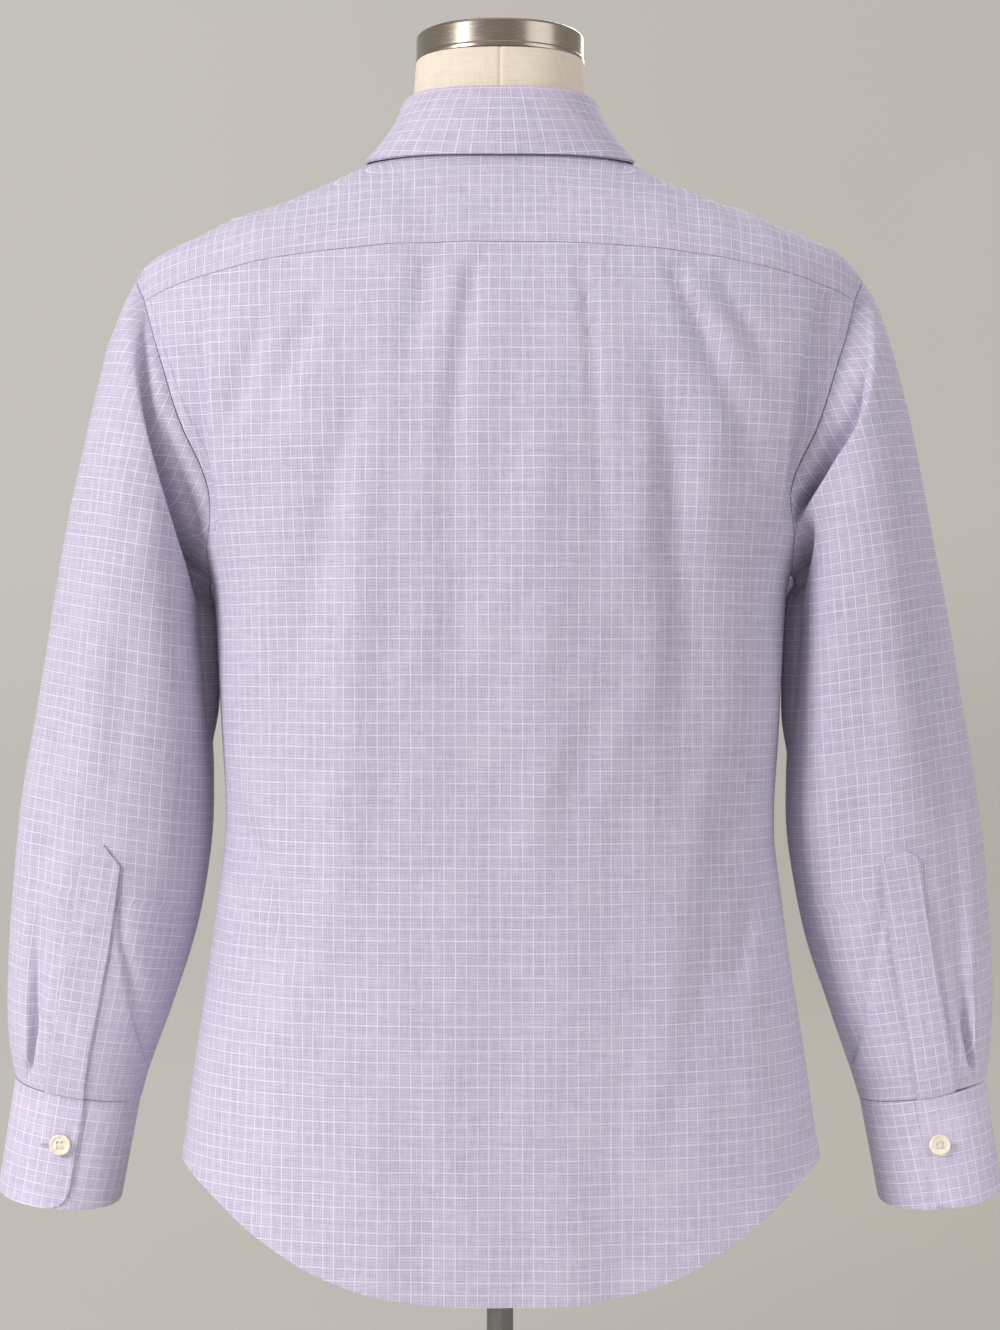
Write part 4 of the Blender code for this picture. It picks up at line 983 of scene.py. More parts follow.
@built_once
def button_resin():
    colour = tuple(bpy.context.scene.shirt_trim.button)
    return plain_look(
        "button_resin", 0.30, tuple(0.86 * c for c in colour), colour, 260.0, 0.00004,
        Coat_Weight=0.35, Coat_Roughness=0.2, Subsurface_Weight=0.08, Subsurface_Scale=0.002)


@built_once
def satin_steel():
    return plain_look(
        "satin_steel", 0.42, (0.22, 0.21, 0.205), (0.29, 0.28, 0.27), 1800.0, 0.00003, Metallic=0.9)


@built_once
def form_linen():
    """Natural linen: uneven cream yarn both ways with darker slubs."""
    sizes = bpy.context.scene.shirt_trim
    made, tree, shader = started(
        "form_linen", 0.9, Sheen_Weight=0.1, Sheen_Roughness=0.5, Specular_IOR_Level=0.2)
    place = node(tree, "UVMap", uv_map="Grain").outputs[0]
    tone, _ = yarn_tone(tree, place, 900.0, 260.0, 0.7)
    dark = rgba([c * 0.88 for c in sizes.linen])
    painted(tree, shader, blended(tree, ranged(tree, tone, 0.36, 0.62), dark, rgba(sizes.linen)))
    bumped(tree, shader, tone, 0.0003, 0.7)
    return made


@built_once
def brushed_nickel():
    """Nickel brushed round its axis: fine rings of noise over radius and height set tone, gloss and bump."""
    made, tree, shader = started("brushed_nickel", 0.3, Metallic=1.0)
    place = node(tree, "TexCoord").outputs["Object"]
    split = node(tree, "SeparateXYZ", {0: place})
    x, y, z = split.outputs
    radius = sums(tree, "SQRT", plus(tree, times(tree, x, x), times(tree, y, y)))
    ringed = node(tree, "CombineXYZ", {0: radius, 1: z, 2: times(tree, x, 0.02)}).outputs[0]
    brush = noise(tree, ringed, 5200.0, 3.0)
    dark, light = rgba((0.265, 0.232, 0.195)), rgba((0.36, 0.32, 0.275))
    painted(tree, shader, blended(tree, ranged(tree, brush, 0.3, 0.7), dark, light))
    tree.links.new(ranged(tree, brush, 0.3, 0.7, 0.22, 0.30), shader.inputs["Roughness"])
    bumped(tree, shader, brush, 0.00003, 0.15)
    return made


# ---- Sewn pieces ----
UP = np.array([0.0, 0.0, 1.0])


def back_edge():
    return join(side_seam(), armhole_line(0, BACK_TURN, ARM_STEPS))


def armhole_shift(turns):
    """How far the panel's edge is moved back from the armhole."""
    gap, back, _ = armhole_bend(turns)
    return gap * back


def hem_roll(points):
    """Wall thickness with the hem turned up: 2.1 cloths thick for the hem's depth up from the edge, easing
    back to one over the next millimetre and a half."""
    return CLOTH * (1 + 1.1 * (1 - eased((travelled(points) - HEM_DEPTH) / 0.0015)))


def make_back():
    """The back: the torso's cloth between the side seams and the armholes, up to the yoke's seam, its
    columns at even parts of the angle of those edges but closer under the arms."""
    left = back_edge()
    fraction = -clustered(-1, 1, ACROSS_STEPS, ((-0.86, 0.12, 1.3), (0.86, 0.12, 1.3)))
    angle = left[:, :1] * fraction
    level = np.repeat(left[:, 1:], len(fraction), axis=1)
    points, normals = draped(angle, level)
    points = draw_back(points, dict(high=SEAM / 2, left=SIDE_GAPS, right=SIDE_GAPS))
    shift = armhole_shift(spread(0, BACK_TURN, ARM_STEPS))
    ease_in(points, lambda k: (slice(SIDE_STEPS, None), k), shift)
    ease_in(points, lambda k: (slice(SIDE_STEPS, None), -1 - k), mirrored(shift))
    flat = laid_flat(torso(angle, level), normals, UP, len(fraction) // 2)
    made = shell("shirt_back", points, normals, flat, hem_roll(points), checked_cloth())
    kept(made, "back")


def front_patch():
    """(angle, level) of the left front: a Coons patch between side seam and armhole, neckline and seam,
    centre edge and hem."""
    outer = join(side_seam(), armhole_line(2 * math.pi, FRONT_TURN, ARM_STEPS))
    end = math.pi + LAP
    high = join(front_seam(), pairs(spread(FRONT_SEAM_NECK, end, NECK_STEPS), NECK))
    low = pairs(spread(math.pi / 2, end, SEAM_STEPS + NECK_STEPS), 0)
    climb = np.clip((outer[:, 1] - UNDERARM) / (FRONT_SEAM_LEVEL - UNDERARM), 0, 1) ** 1.6
    centre = pairs(end, outer[:, 1] + (NECK - FRONT_SEAM_LEVEL) * climb)
    return along_edges(low, high, outer, centre, climb)


def make_front(name, node_name, side):
    """side is 1 for the left front, which lies on top, and -1 for the right."""
    patch = front_patch()
    angle, level = side * patch[..., 0], patch[..., 1]
    points, normals = draped(angle, level)
    points = points + normals * (side * LAP_STEP * lapping(angle))[..., None]
    points = draw_back(points, dict(high=SEAM / 2, left=SIDE_GAPS))
    shift = armhole_shift(spread(2 * math.pi, FRONT_TURN, ARM_STEPS))
    ease_in(points, lambda k: (slice(SIDE_STEPS, None), k), shift if side > 0 else mirrored(shift))
    flat = laid_flat(torso(angle, level), normals, UP, points.shape[1] - 1) + np.array(CHECK_START["front"])
    made = shell(name, points, normals, flat, hem_roll(points), checked_cloth())
    kept(made, node_name)


def yoke_patch():
    """(angle, level) of the yoke: a Coons patch between the neckline, the two front seams and the line
    over one armhole, along the back seam and over the other armhole."""
    arm = np.stack(armhole(yoke_turns()), axis=-1)
    seam = pairs(spread(yoke_end(), -yoke_end(), ACROSS_STEPS), YOKE_SEAM)
    high = join(arm, seam, arm[::-1] * np.array([-1.0, 1.0]))
    low = pairs(np.linspace(FRONT_SEAM_NECK, -FRONT_SEAM_NECK, len(high)), NECK)
    left = front_seam()[::-1]
    return along_edges(low, high, left, left * np.array([-1.0, 1.0]))


def make_yoke():
    """The yoke, with its check laid straight along its back seam."""
    patch = yoke_patch()
    angle, level = patch[..., 0], patch[..., 1]
    points, normals = draped(angle, level)
    turns = yoke_turns()
    on_arm = len(turns) - 1
    outer_gap = np.concatenate([np.zeros(on_arm), np.full(ACROSS_STEPS + 1, SEAM / 2), np.zeros(on_arm)])
    points = draw_back(points, dict(low=SEAM / 2, high=outer_gap, left=SEAM / 2, right=SEAM / 2))
    shift = armhole_shift(turns)
    ease_in(points, lambda k: (-1 - k, slice(0, on_arm + 1)), shift)
    ease_in(points, lambda k: (-1 - k, slice(points.shape[1] - on_arm - 1, None)), mirrored(shift)[::-1])
    up = np.cross(np.array([1.0, 0.0, 0.0]), normals)
    turned = (v.swapaxes(0, 1) for v in (torso(angle, level), normals, up))
    flat = laid_flat(*turned, points.shape[0] - 1).swapaxes(0, 1)
    flat = flat - flat[-1, points.shape[1] // 2]
    on_seam = slice(on_arm, on_arm + ACROSS_STEPS + 1)
    lift = np.zeros(points.shape[1])
    lift[on_seam] = flat[-1, on_seam, 1]
    lift[:on_arm], lift[on_arm + ACROSS_STEPS + 1 :] = lift[on_arm], lift[on_arm + ACROSS_STEPS]
    flat[..., 1] -= lift[None]
    made = shell("shirt_yoke", points, normals, flat + CHECK_START["yoke"], CLOTH, checked_cloth())
    kept(made, "yoke")


def make_sleeve(name, node_name, side):
    """A sleeve in the left one's place with its own side's creases, on a grid that is finer where its deep
    folds and its pleat run, then mirrored for the right."""
    turn = clustered(0, 2 * math.pi, 222, SLEEVE_SPOTS)[:-1]
    rings = np.concatenate([np.linspace(0, 2.5, 72)[:-1], np.linspace(2.5, SLEEVE_END, 134)])
    base = sleeve(turn, rings, side)
    normals = grid_normals(base, closed=True)
    points = base - normals * sleeve_depth(base, turn, rings, side)[..., None]
    gap, _, out = armhole_bend(turn)
    points = draw_back(points, dict(high=SEAM / 4))
    ease_in(points, lambda k: k, gap * out, 9)
    flat = rolled_flat(closed_ring(base), int(np.argmin(np.abs(turn - math.pi))))
    points, normals, flat = for_side(side, points, normals, flat, CHECK_START["sleeve"])
    made = shell(name, points, normals, flat, CLOTH, checked_cloth(), closed=True)
    kept(made, node_name)


def placket_points(side, lift, steps=22, rows=88):
    """The strip on the sleeve's back: parts across its width run from the free edge, rows from the cuff up
    to its pointed top. It lies on the sleeve's own cloth, lifted off it."""
    down = SLEEVE_END - np.linspace(SLEEVE_END, PLACKET_TOP, rows)
    reach = SLEEVE_END - PLACKET_TOP
    strip = []
    for part in spread(0, 1, steps):
        point = PLACKET_POINT * (1 - abs(2 * part - 1))
        own = SLEEVE_END - down * (reach + point) / reach
        probe = sleeve(np.array([PLACKET_EDGE, PLACKET_EDGE + 0.1]), own, side)
        per_radian = np.linalg.norm(probe[:, 1] - probe[:, 0], axis=-1) / 0.1
        turn = PLACKET_EDGE + part * PLACKET_WIDTH / per_radian
        wide = sleeve(turn, own, side)
        strip.append(wide[np.arange(rows), np.arange(rows)])
    points = np.stack(strip, axis=1)
    normals = grid_normals(points)
    normals *= np.sign(normals[..., 1:2].mean())
    height, x = points[..., 2] - RISE, points[..., 0] * side
    sag = np.maximum(ripples(x, height, 23 + side, 0.0004), -0.0003)
    return points + normals * (lift + 0.0004) - normals * sag[..., None], normals


def make_placket(name, node_name, side):
    points, normals = placket_points(side, CLOTH + SEAM)
    points = draw_back(points, dict(low=SEAM))
    flat = laid_flat(points, normals, unit(points[-1, 0] - points[0, 0]), 0)
    points, normals, flat = for_side(side, points, normals, flat)
    made = shell(name, points, normals, flat + np.array(CHECK_START["placket"]), CLOTH, checked_cloth())
    strip = kept(made, node_name)


def turned_out(points):
    """1 if the grid's normals point away from its middle, and otherwise -1."""
    middle = points.mean(axis=(0, 1))
    return np.sign(((points - middle) * grid_normals(points)).sum(axis=-1).mean())


def cuff_surface(columns=200, rows=34):
    """A band that spirals outward: its inner end runs under the outer end, which has a round corner."""
    start, end = PLACKET_EDGE + UNDERLAP, PLACKET_EDGE - 2 * math.pi
    turn = clustered(end, start, columns, ((end, 0.25, 3.0),))[::-1]
    rings = smooth_rows(np.stack([tube_ring(turn, *row) for row in CUFF]), np.linspace(0, 2, rows))
    progress = (start - turn) / (start - end)
    inward = (BAND + SEAM + 0.0004) * (1 - progress)
    normals = grid_normals(rings) * turned_out(rings)
    points = rings - normals * inward[None, :, None]
    height = np.linalg.norm(points[-1] - points[0], axis=-1)
    reach = np.linalg.norm(points[-1] - points[-1, -1], axis=-1)
    near = np.clip(CUFF_CORNER - reach, 0, CUFF_CORNER) * (progress > 0.5)
    scale = (height - (CUFF_CORNER - np.sqrt(CUFF_CORNER**2 - near**2))) / height
    points = points[:1] + (points - points[:1]) * scale[None, :, None]
    points = draw_back(points, dict(low=SEAM / 2))
    return points, normals


def make_cuff(name, node_name, side):
    points, normals = cuff_surface()
    flat = laid_flat(points, normals, unit(points[0, 100] - points[-1, 100]), 150)
    points, normals, flat = for_side(side, points, normals, flat, CHECK_START["cuff"])
    band = kept(shell(name, points, normals, flat, BAND, checked_cloth()), node_name)


def collar_ring(angle, lift, outward):
    """The collar's top ring, raised and widened; COLLAR_TOP has widths and heights by turns."""
    return ring(angle, *(size + (lift if k % 2 else outward) for k, size in enumerate(COLLAR_TOP)))


def stand_surface(columns=180, rows=12):
    """A band from the neckline up to the fold, its left end lapping over its right end in front."""
    half = math.pi + STAND_LAP
    angle = np.linspace(-half, half, columns + 1)
    low = torso(angle, np.full_like(angle, NECK)) + np.array([0, 0, SEAM / 2 + 0.0006])
    points = np.linspace(low, collar_ring(angle, 0, 0), rows)
    normals = grid_normals(points) * turned_out(points)
    return points + normals * (STAND_STEP * np.sign(angle) * lapping(angle))[None, :, None], normals


def leaf_surface(columns=190, rows=40):
    """The leaf from just over the stand, round the fold and down to its free edge."""
    part = np.linspace(-1, 1, columns + 1)
    fold_angle = part * LEAF_END
    table = np.array(LEAF_EDGE)
    spots = np.interp(np.abs(part), table[:, 0], np.arange(len(table)))
    _, angles, levels, clear = np.moveaxis(smooth_rows(table, spots), -1, 0)
    edge_angle = np.sign(part) * np.radians(angles)
    edge = torso(edge_angle, levels) + torso_normal(edge_angle, levels) * clear[:, None]
    drawn = [collar_ring(fold_angle, lift, out) for lift, out in FOLD_ROLL]
    start, outward = drawn[-1], unit(drawn[-1] - drawn[0])
    bow = LEAF_BOW["back"] + (LEAF_BOW["side"] - LEAF_BOW["back"]) * np.sin(fold_angle)[:, None] ** 2
    for t in (0.25, 0.5, 0.75, 1.0):
        drawn.append(start + (edge - start) * t + outward * bow * math.sin(math.pi * t))
    points = smooth_rows(np.stack(drawn), clustered(0, len(drawn) - 1, rows, ((0.8, 1.0, 2.0),)))
    return points, grid_normals(points) * turned_out(points)


def make_collar():
    for name, node_name, (points, normals), start, cut, area, under in (
        ("shirt_collar_stand", "collar_stand", stand_surface(), 90, (0.46, 0.033), 0.0148, "yoke"),
        ("shirt_collar_leaf", "collar_leaf", leaf_surface(), 95, (0.52, 0.058), 0.0292, "collar_stand"),
    ):
        flat = banded_flat(points, start) + np.array(CHECK_START["collar"])
        band = kept(shell(name, points, normals, flat, BAND, checked_cloth()), node_name)


# ---- Stitching ----
def on_torso(angle, level, lift=CLOTH / 2):
    """(points, normals) of a line on the outside of the torso's cloth."""
    points, normals = draped(np.atleast_2d(angle), np.atleast_2d(level))
    return (points + normals * lift)[0], normals[0]


def make_stitches():
    """Rows of stitches along the seams, the hem, the front bands, the collar, the cuffs and the plackets."""
    look = shirt_thread()
    yoke = [on_torso(spread(yoke_end(), -yoke_end(), 300), np.full(301, YOKE_SEAM + 0.055))]
    low, high = armhole_line(2 * math.pi, FRONT_TURN, ARM_STEPS)[-1], (FRONT_SEAM_NECK, NECK)
    for side in (1, -1):
        line = np.linspace(low, high, 120)[4:-6]
        yoke.append(on_torso(side * (line[:, 0] - 0.022), line[:, 1]))
    threads("stitches_yoke", yoke, look)
    arms = []
    for side in (1, -1):
        stops = (0.12, BACK_TURN - 0.05), (BACK_TURN + 0.05, math.pi), (math.pi, FRONT_TURN - 0.05)
        for start, stop in (*stops, (FRONT_TURN + 0.05, 6.16)):
            turn = spread(start, stop, 160)
            (angle, level), (_, back, _) = armhole(turn), armhole_bend(turn)
            points, normals = on_torso(side * angle, level)
            arms.append((points + (back if side > 0 else mirrored(back)) * ARM_STITCH, normals))
    threads("stitches_armholes", arms, look)
    hem = []
    for first, last, lap in ((-90, 90, 0), (90, 187, 1), (-187, -90, -1)):
        angle = np.radians(np.linspace(first + 0.6, last - 0.6, 320))
        points, normals = on_torso(angle, np.full(320, 0.118), CLOTH * 0.62)
        hem.append((points + normals * (lap * LAP_STEP * lapping(angle))[:, None], normals))
    threads("stitches_hem", hem, look)
    bands = []
    for turned_angle in (math.pi + LAP - 0.012, math.pi - LAP - 0.075):
        levels = np.linspace(0.15, NECK - 0.12, 420)
        angle = np.full(420, turned_angle)
        points, normals = on_torso(angle, levels)
        bands.append((points + normals * (LAP_STEP * lapping(angle))[:, None], normals))
    threads("stitches_front_band", bands, look)
    points, normals = leaf_surface()
    places = (-4, slice(3, -3)), (slice(8, -4), 3), (slice(8, -4), -4)
    around = [(points[at], normals[at]) for at in places]
    points, normals = stand_surface()
    around.append((points[2, 2:-2], normals[2, 2:-2]))
    threads("stitches_collar", [(p + n * BAND / 2, n) for p, n in around], look)
    ends = []
    cuff, cuff_normals = cuff_surface()
    on_cuff = (3, slice(40, -7)), (-5, slice(40, -7)), (slice(3, -8), -5)
    on_strip = (slice(1, -3), 2), (slice(1, -3), -3), (-4, slice(2, -2)), (-13, slice(2, -2))
    for side in (1, -1):
        lines = [(cuff[at] + cuff_normals[at] * BAND / 2, cuff_normals[at]) for at in on_cuff]
        strip, strip_normals = placket_points(side, CLOTH + SEAM)
        lines += [(strip[at] + strip_normals[at] * CLOTH / 2, strip_normals[at]) for at in on_strip]
        ends += [(p, n) if side > 0 else (mirrored(p), mirrored(n)) for p, n in lines]
    threads("stitches_cuffs_and_plackets", ends, look)


# ---- Buttons and buttonholes ----
def button_points(across, thick, columns=72):
    """(points, quads) of a dished disc on the axis: its profile goes out along the back, up a round side,
    over a raised rim and down into the dish; four pits of a smooth step round their centres are the holes."""
    radius = across / 2
    outline = np.array(BUTTON_PROFILE) * (radius, thick)
    inner = np.stack([np.linspace(0.60, 0.02, 24) * radius, np.full(24, 0.66 * thick)], axis=1)
    outline = np.concatenate([outline, inner])
    angle = np.arange(columns) * 2 * math.pi / columns
    x, y = outline[:, :1] * np.cos(angle), outline[:, :1] * np.sin(angle)
    z = np.repeat(outline[:, 1:], columns, axis=1)
    hole, off = 0.145 * radius, 0.205 * radius
    for sign_x, sign_y in ((1, 1), (1, -1), (-1, 1), (-1, -1)):
        reach = np.hypot(x - sign_x * off, y - sign_y * off)
        z[10:] -= (0.5 * thick * eased((hole - reach) / (0.25 * hole) + 0.5))[10:]
    points = np.stack([x, y, z], axis=-1)
    return points, closed_ring(numbered(points))


def basis(normal):
    """Rows of a frame whose last direction is the normal and whose second leans up."""
    normal = unit(np.asarray(normal, float))
    across = unit(np.cross(UP, normal))
    return np.stack([across, np.cross(normal, across), normal])


def cuff_place():
    """(place, normal) of the left cuff's button: the cross product of small steps round and down."""
    turn = CUFF_BUTTON_ANGLE + np.array([-0.05, 0, 0.05])
    rows = CUFF_BUTTON_ROW + np.array([-0.1, 0, 0.1])
    near = smooth_rows(np.stack([tube_ring(turn, *row) for row in CUFF]), rows)
    normal = np.cross(near[1, 2] - near[1, 0], near[2, 1] - near[0, 1])
    normal = unit(normal * np.sign(normal[1]))
    return near[1, 1] + normal * (BAND / 2 + 0.0002), normal


def button_places():
    """(piece, CAD node, place on the cloth, normal, size) of every button."""
    levels = np.linspace(0, NECK, 900)
    centre = torso(math.pi, levels)
    found = []
    for k in range(FRONT_BUTTONS):
        level = np.interp(FRONT_BUTTON_TOP - k * FRONT_BUTTON_PITCH + RISE, centre[:, 2], levels)
        normal = torso_normal(math.pi, level)
        place = torso(math.pi, level) + normal * (LAP_STEP + CLOTH / 2 + 0.0001)
        found.append((f"shirt_button_{k + 1}", f"button_front_{k + 1}", place, normal, BUTTON))
    low, high = torso(math.pi, NECK), collar_ring(math.pi, 0, 0)
    up = unit(high - low)
    normal = np.array([0, -up[2], up[1]])
    place = (low + high) / 2 + normal * (STAND_STEP + BAND / 2 + 0.0003)
    found.append(("shirt_button_collar", "button_collar", place, normal, BUTTON))
    for name, side in SIDES:
        place, normal = (v if side > 0 else mirrored(v) for v in cuff_place())
        found.append((f"shirt_button_cuff_{name}", f"button_cuff_{name}", place, normal, CUFF_BUTTON))
    return found


def make_buttons():
    crosses, loops = [], []
    for name, node_name, place, normal, (across, thick) in button_places():
        axes = basis(normal)
        points, number = button_points(across, thick)
        points = points @ axes + place + normal * SEAM
        quads = corners_of(number)
        made = mesh_object(name, points.reshape(-1, 3), quads, None, button_resin())
        close_ends(made, number[0, :-1], number[-1, :-1])
        kept(made, node_name)
        spin = unit(axes[0] + axes[1]), unit(axes[0] - axes[1])
        top = place + normal * (SEAM + thick * 0.72)
        for run in spin:
            beside = np.cross(normal, run)
            centre = top + beside * np.array([[-0.00022], [0.00022]])
            run, out = (np.broadcast_to(v, centre.shape) for v in (run, normal))
            crosses.append(capsules(centre, run, out, across * 0.36, 0.00026))
        loops.append(hole_loop(name, place, normal, axes, across))
    kept(mesh_object("button_threads", *gathered(crosses), None, button_thread()), None)
    corded("buttonholes", loops, shirt_thread(), 0.00032, 60)


def hole_loop(name, place, normal, axes, across):
    """The worked loop of a buttonhole: two straight sides and two half circles. It lies across on a cuff and
    on the collar's stand, and up and down on the front."""
    level_one = "cuff" in name or "collar" in name
    run, beside = (axes[0], axes[1]) if level_one else (axes[1], axes[0])
    if "cuff" in name:
        run = run * np.sign(run[0] * place[0])
    shift = across * (0.34 if "cuff" in name else 0.10)
    reach, half = across * 0.56, 0.00075
    straight = np.linspace(-reach, reach, 54)
    bend = np.linspace(0, math.pi, 9)[1:-1]
    far = reach + half * np.sin(bend)
    along = np.concatenate([straight, far, straight[::-1], -far])
    wide = np.concatenate([np.full(54, -half), -half * np.cos(bend), np.full(54, half), half * np.cos(bend)])
    points = place + run * (along + shift)[:, None] + beside * wide[:, None] + normal * 0.00005
    return points, np.broadcast_to(normal, points.shape)


def close_ends(made, *loops):
    """Fills the small round openings left at a turned shape's poles."""
    shape = bmesh.new()
    shape.from_mesh(made.data)
    shape.verts.ensure_lookup_table()
    for loop in loops:
        shape.faces.new([shape.verts[int(k)] for k in loop])
    bmesh.ops.recalc_face_normals(shape, faces=shape.faces)
    shape.to_mesh(made.data)
    shape.free()
    made.data.shade_smooth()
    made.data.set_sharp_from_angle(angle=math.radians(48))


# ---- The dress form ----
def make_form():
    """A limbless torso and neck: rings of the form's table, with a sewn seam up the centre back and front
    as a groove of depth exp(-q^2) beside a low pressed ridge."""
    levels = clustered(0, len(FORM) - 1, 130, ((12.0, 1.5, 1.0),))
    half = clustered(0, math.pi, 66, ((0.0, 0.06, 9.0), (math.pi, 0.06, 9.0)))
    angle = np.concatenate([half, -half[::-1][1:-1]])
    points = ring(angle, *np.moveaxis(smooth_rows(FORM, levels)[:, None], -1, 0))
    normals = grid_normals(points, closed=True)
    normals *= np.sign((normals * (points - points.mean(axis=(0, 1)))).sum())
    x = points[..., 0]
    seam = 0.0006 * np.exp(-((x / 0.0009) ** 2)) - 0.00025 * np.exp(-(((np.abs(x) - 0.0030) / 0.0018) ** 2))
    points = points - normals * seam[..., None]
    flat = laid_flat(closed_ring(points), closed_ring(normals), UP, 0)
    number = numbered(points)
    grain = flat.reshape(-1, 2)[corners_of(numbered(flat))]
    quads = corners_of(closed_ring(number))
    made = mesh_object("dress_form", points.reshape(-1, 3), quads, grain, form_linen())
    close_ends(made, number[0], number[-1])
    kept(made, "form_torso")


def turned(name, outline, look, sides):
    """(object, point numbers) of (radius, height) points turned about the upright axis, open at its ends."""
    radius, height = np.array(outline, float)[:, None].transpose(2, 0, 1)
    angle = np.arange(sides) * 2 * math.pi / sides
    shape = np.broadcast_arrays(radius * np.cos(angle), radius * np.sin(angle), height)
    points = np.stack(shape, axis=-1)
    number = numbered(points)
    return mesh_object(name, points.reshape(-1, 3), corners_of(closed_ring(number)), None, look), number


def turned_piece(name, node_name, outline, look, sides):
    """A turned solid, closed at both ends, in place of its CAD node."""
    made, number = turned(name, outline, look, sides)
    close_ends(made, number[0], number[-1])
    kept(made, node_name)


def rounded(outline, radius, steps=5):
    """A profile with each inner corner cut to a quadratic curve that starts and ends radius from it."""
    outline = np.array(outline, float)
    done = [outline[:1]]
    for before, corner, after in zip(outline[:-2], outline[1:-1], outline[2:]):
        cut = min(radius, 0.45 * np.linalg.norm(before - corner), 0.45 * np.linalg.norm(after - corner))
        first, last = corner + unit(before - corner) * cut, corner + unit(after - corner) * cut
        t = np.linspace(0, 1, steps)[:, None]
        done.append((1 - t) ** 2 * first + 2 * t * (1 - t) * corner + t**2 * last)
    return np.concatenate(done + [outline[-1:]])


def reach_of(box):
    """(radius, lowest height, greatest height) of a CAD node's box."""
    low, high = box
    return (high[0] - low[0]) / 2, low[2], high[2]


def make_stand():
    """The cap, the pole and the base: each a rounded profile of its CAD node's size, with its steps."""
    radius, low, high = reach_of(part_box("form_cap"))
    cap = ((0.004, low), (radius - 0.0006, low), (radius, low + 0.0006), (radius, low + 0.0030),
           (radius - 0.0005, low + 0.0036), (radius - 0.0005, high - 0.0016),
           (radius - 0.0022, high), (0.004, high - 0.0002))
    turned_piece("form_neck_cap", "form_cap", rounded(cap, 0.0008), brushed_nickel(), 160)
    flange, low, high = reach_of(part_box("form_pole"))
    foot, tube, collar = 0.0105, 0.009, 0.012
    pole = ((0.002, low), (foot, low), (foot, low + 0.009), (tube, low + 0.011), (tube, high - 0.014),
            (collar, high - 0.011), (collar, high - 0.006), (flange, high - 0.006), (flange, high),
            (0.002, high))
    turned_piece("stand_pole", "form_pole", rounded(pole, 0.0012), satin_steel(), 64)
    radius, low, high = reach_of(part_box("form_base"))
    base = ((0.004, low), (radius - 0.001, low), (radius, low + 0.0015), (radius, high - 0.004),
            (radius - 0.003, high - 0.0008), (radius - 0.016, high - 0.0006), (radius - 0.018, high),
            (0.004, high))
    turned_piece("stand_base", "form_base", rounded(base, 0.0022), satin_steel(), 160)


# ---- Stage ----
@built_once
def backdrop_paint_and_glow():
    """Matt warm grey, lit a little from within so that the cove stays even: dimmer on the floor and on -X."""
    made, tree, shader = started("backdrop_paint_and_glow", 0.95, Specular_IOR_Level=0.1, Emission_Strength=0.445)
    place = node(tree, "TexCoord").outputs["Object"]
    split = node(tree, "SeparateXYZ", {0: place})
    grain = noise(tree, place, 3.0, 1.0)
    painted(tree, shader, blended(tree, grain, rgba((0.160, 0.152, 0.142)), rgba((0.172, 0.164, 0.153))))
    # Painted light: the glow's colour falls off towards -X and down onto the floor, as light from +X and
    # above would fall.
    sideways, height = ranged(tree, split.outputs[0], -0.9, 0.9), ranged(tree, split.outputs[2], 0.0, 0.9)
    floor = blended(tree, sideways, rgba((0.667, 0.613, 0.558)), rgba((0.825, 0.784, 0.738)))
    wall = blended(tree, sideways, rgba((0.90, 0.84, 0.785)), rgba((1.0, 0.95, 0.90)))
    tree.links.new(blended(tree, height, floor, wall), shader.inputs["Emission Color"])
    bumped(tree, shader, grain, 0.0001, 0.5)
    return made


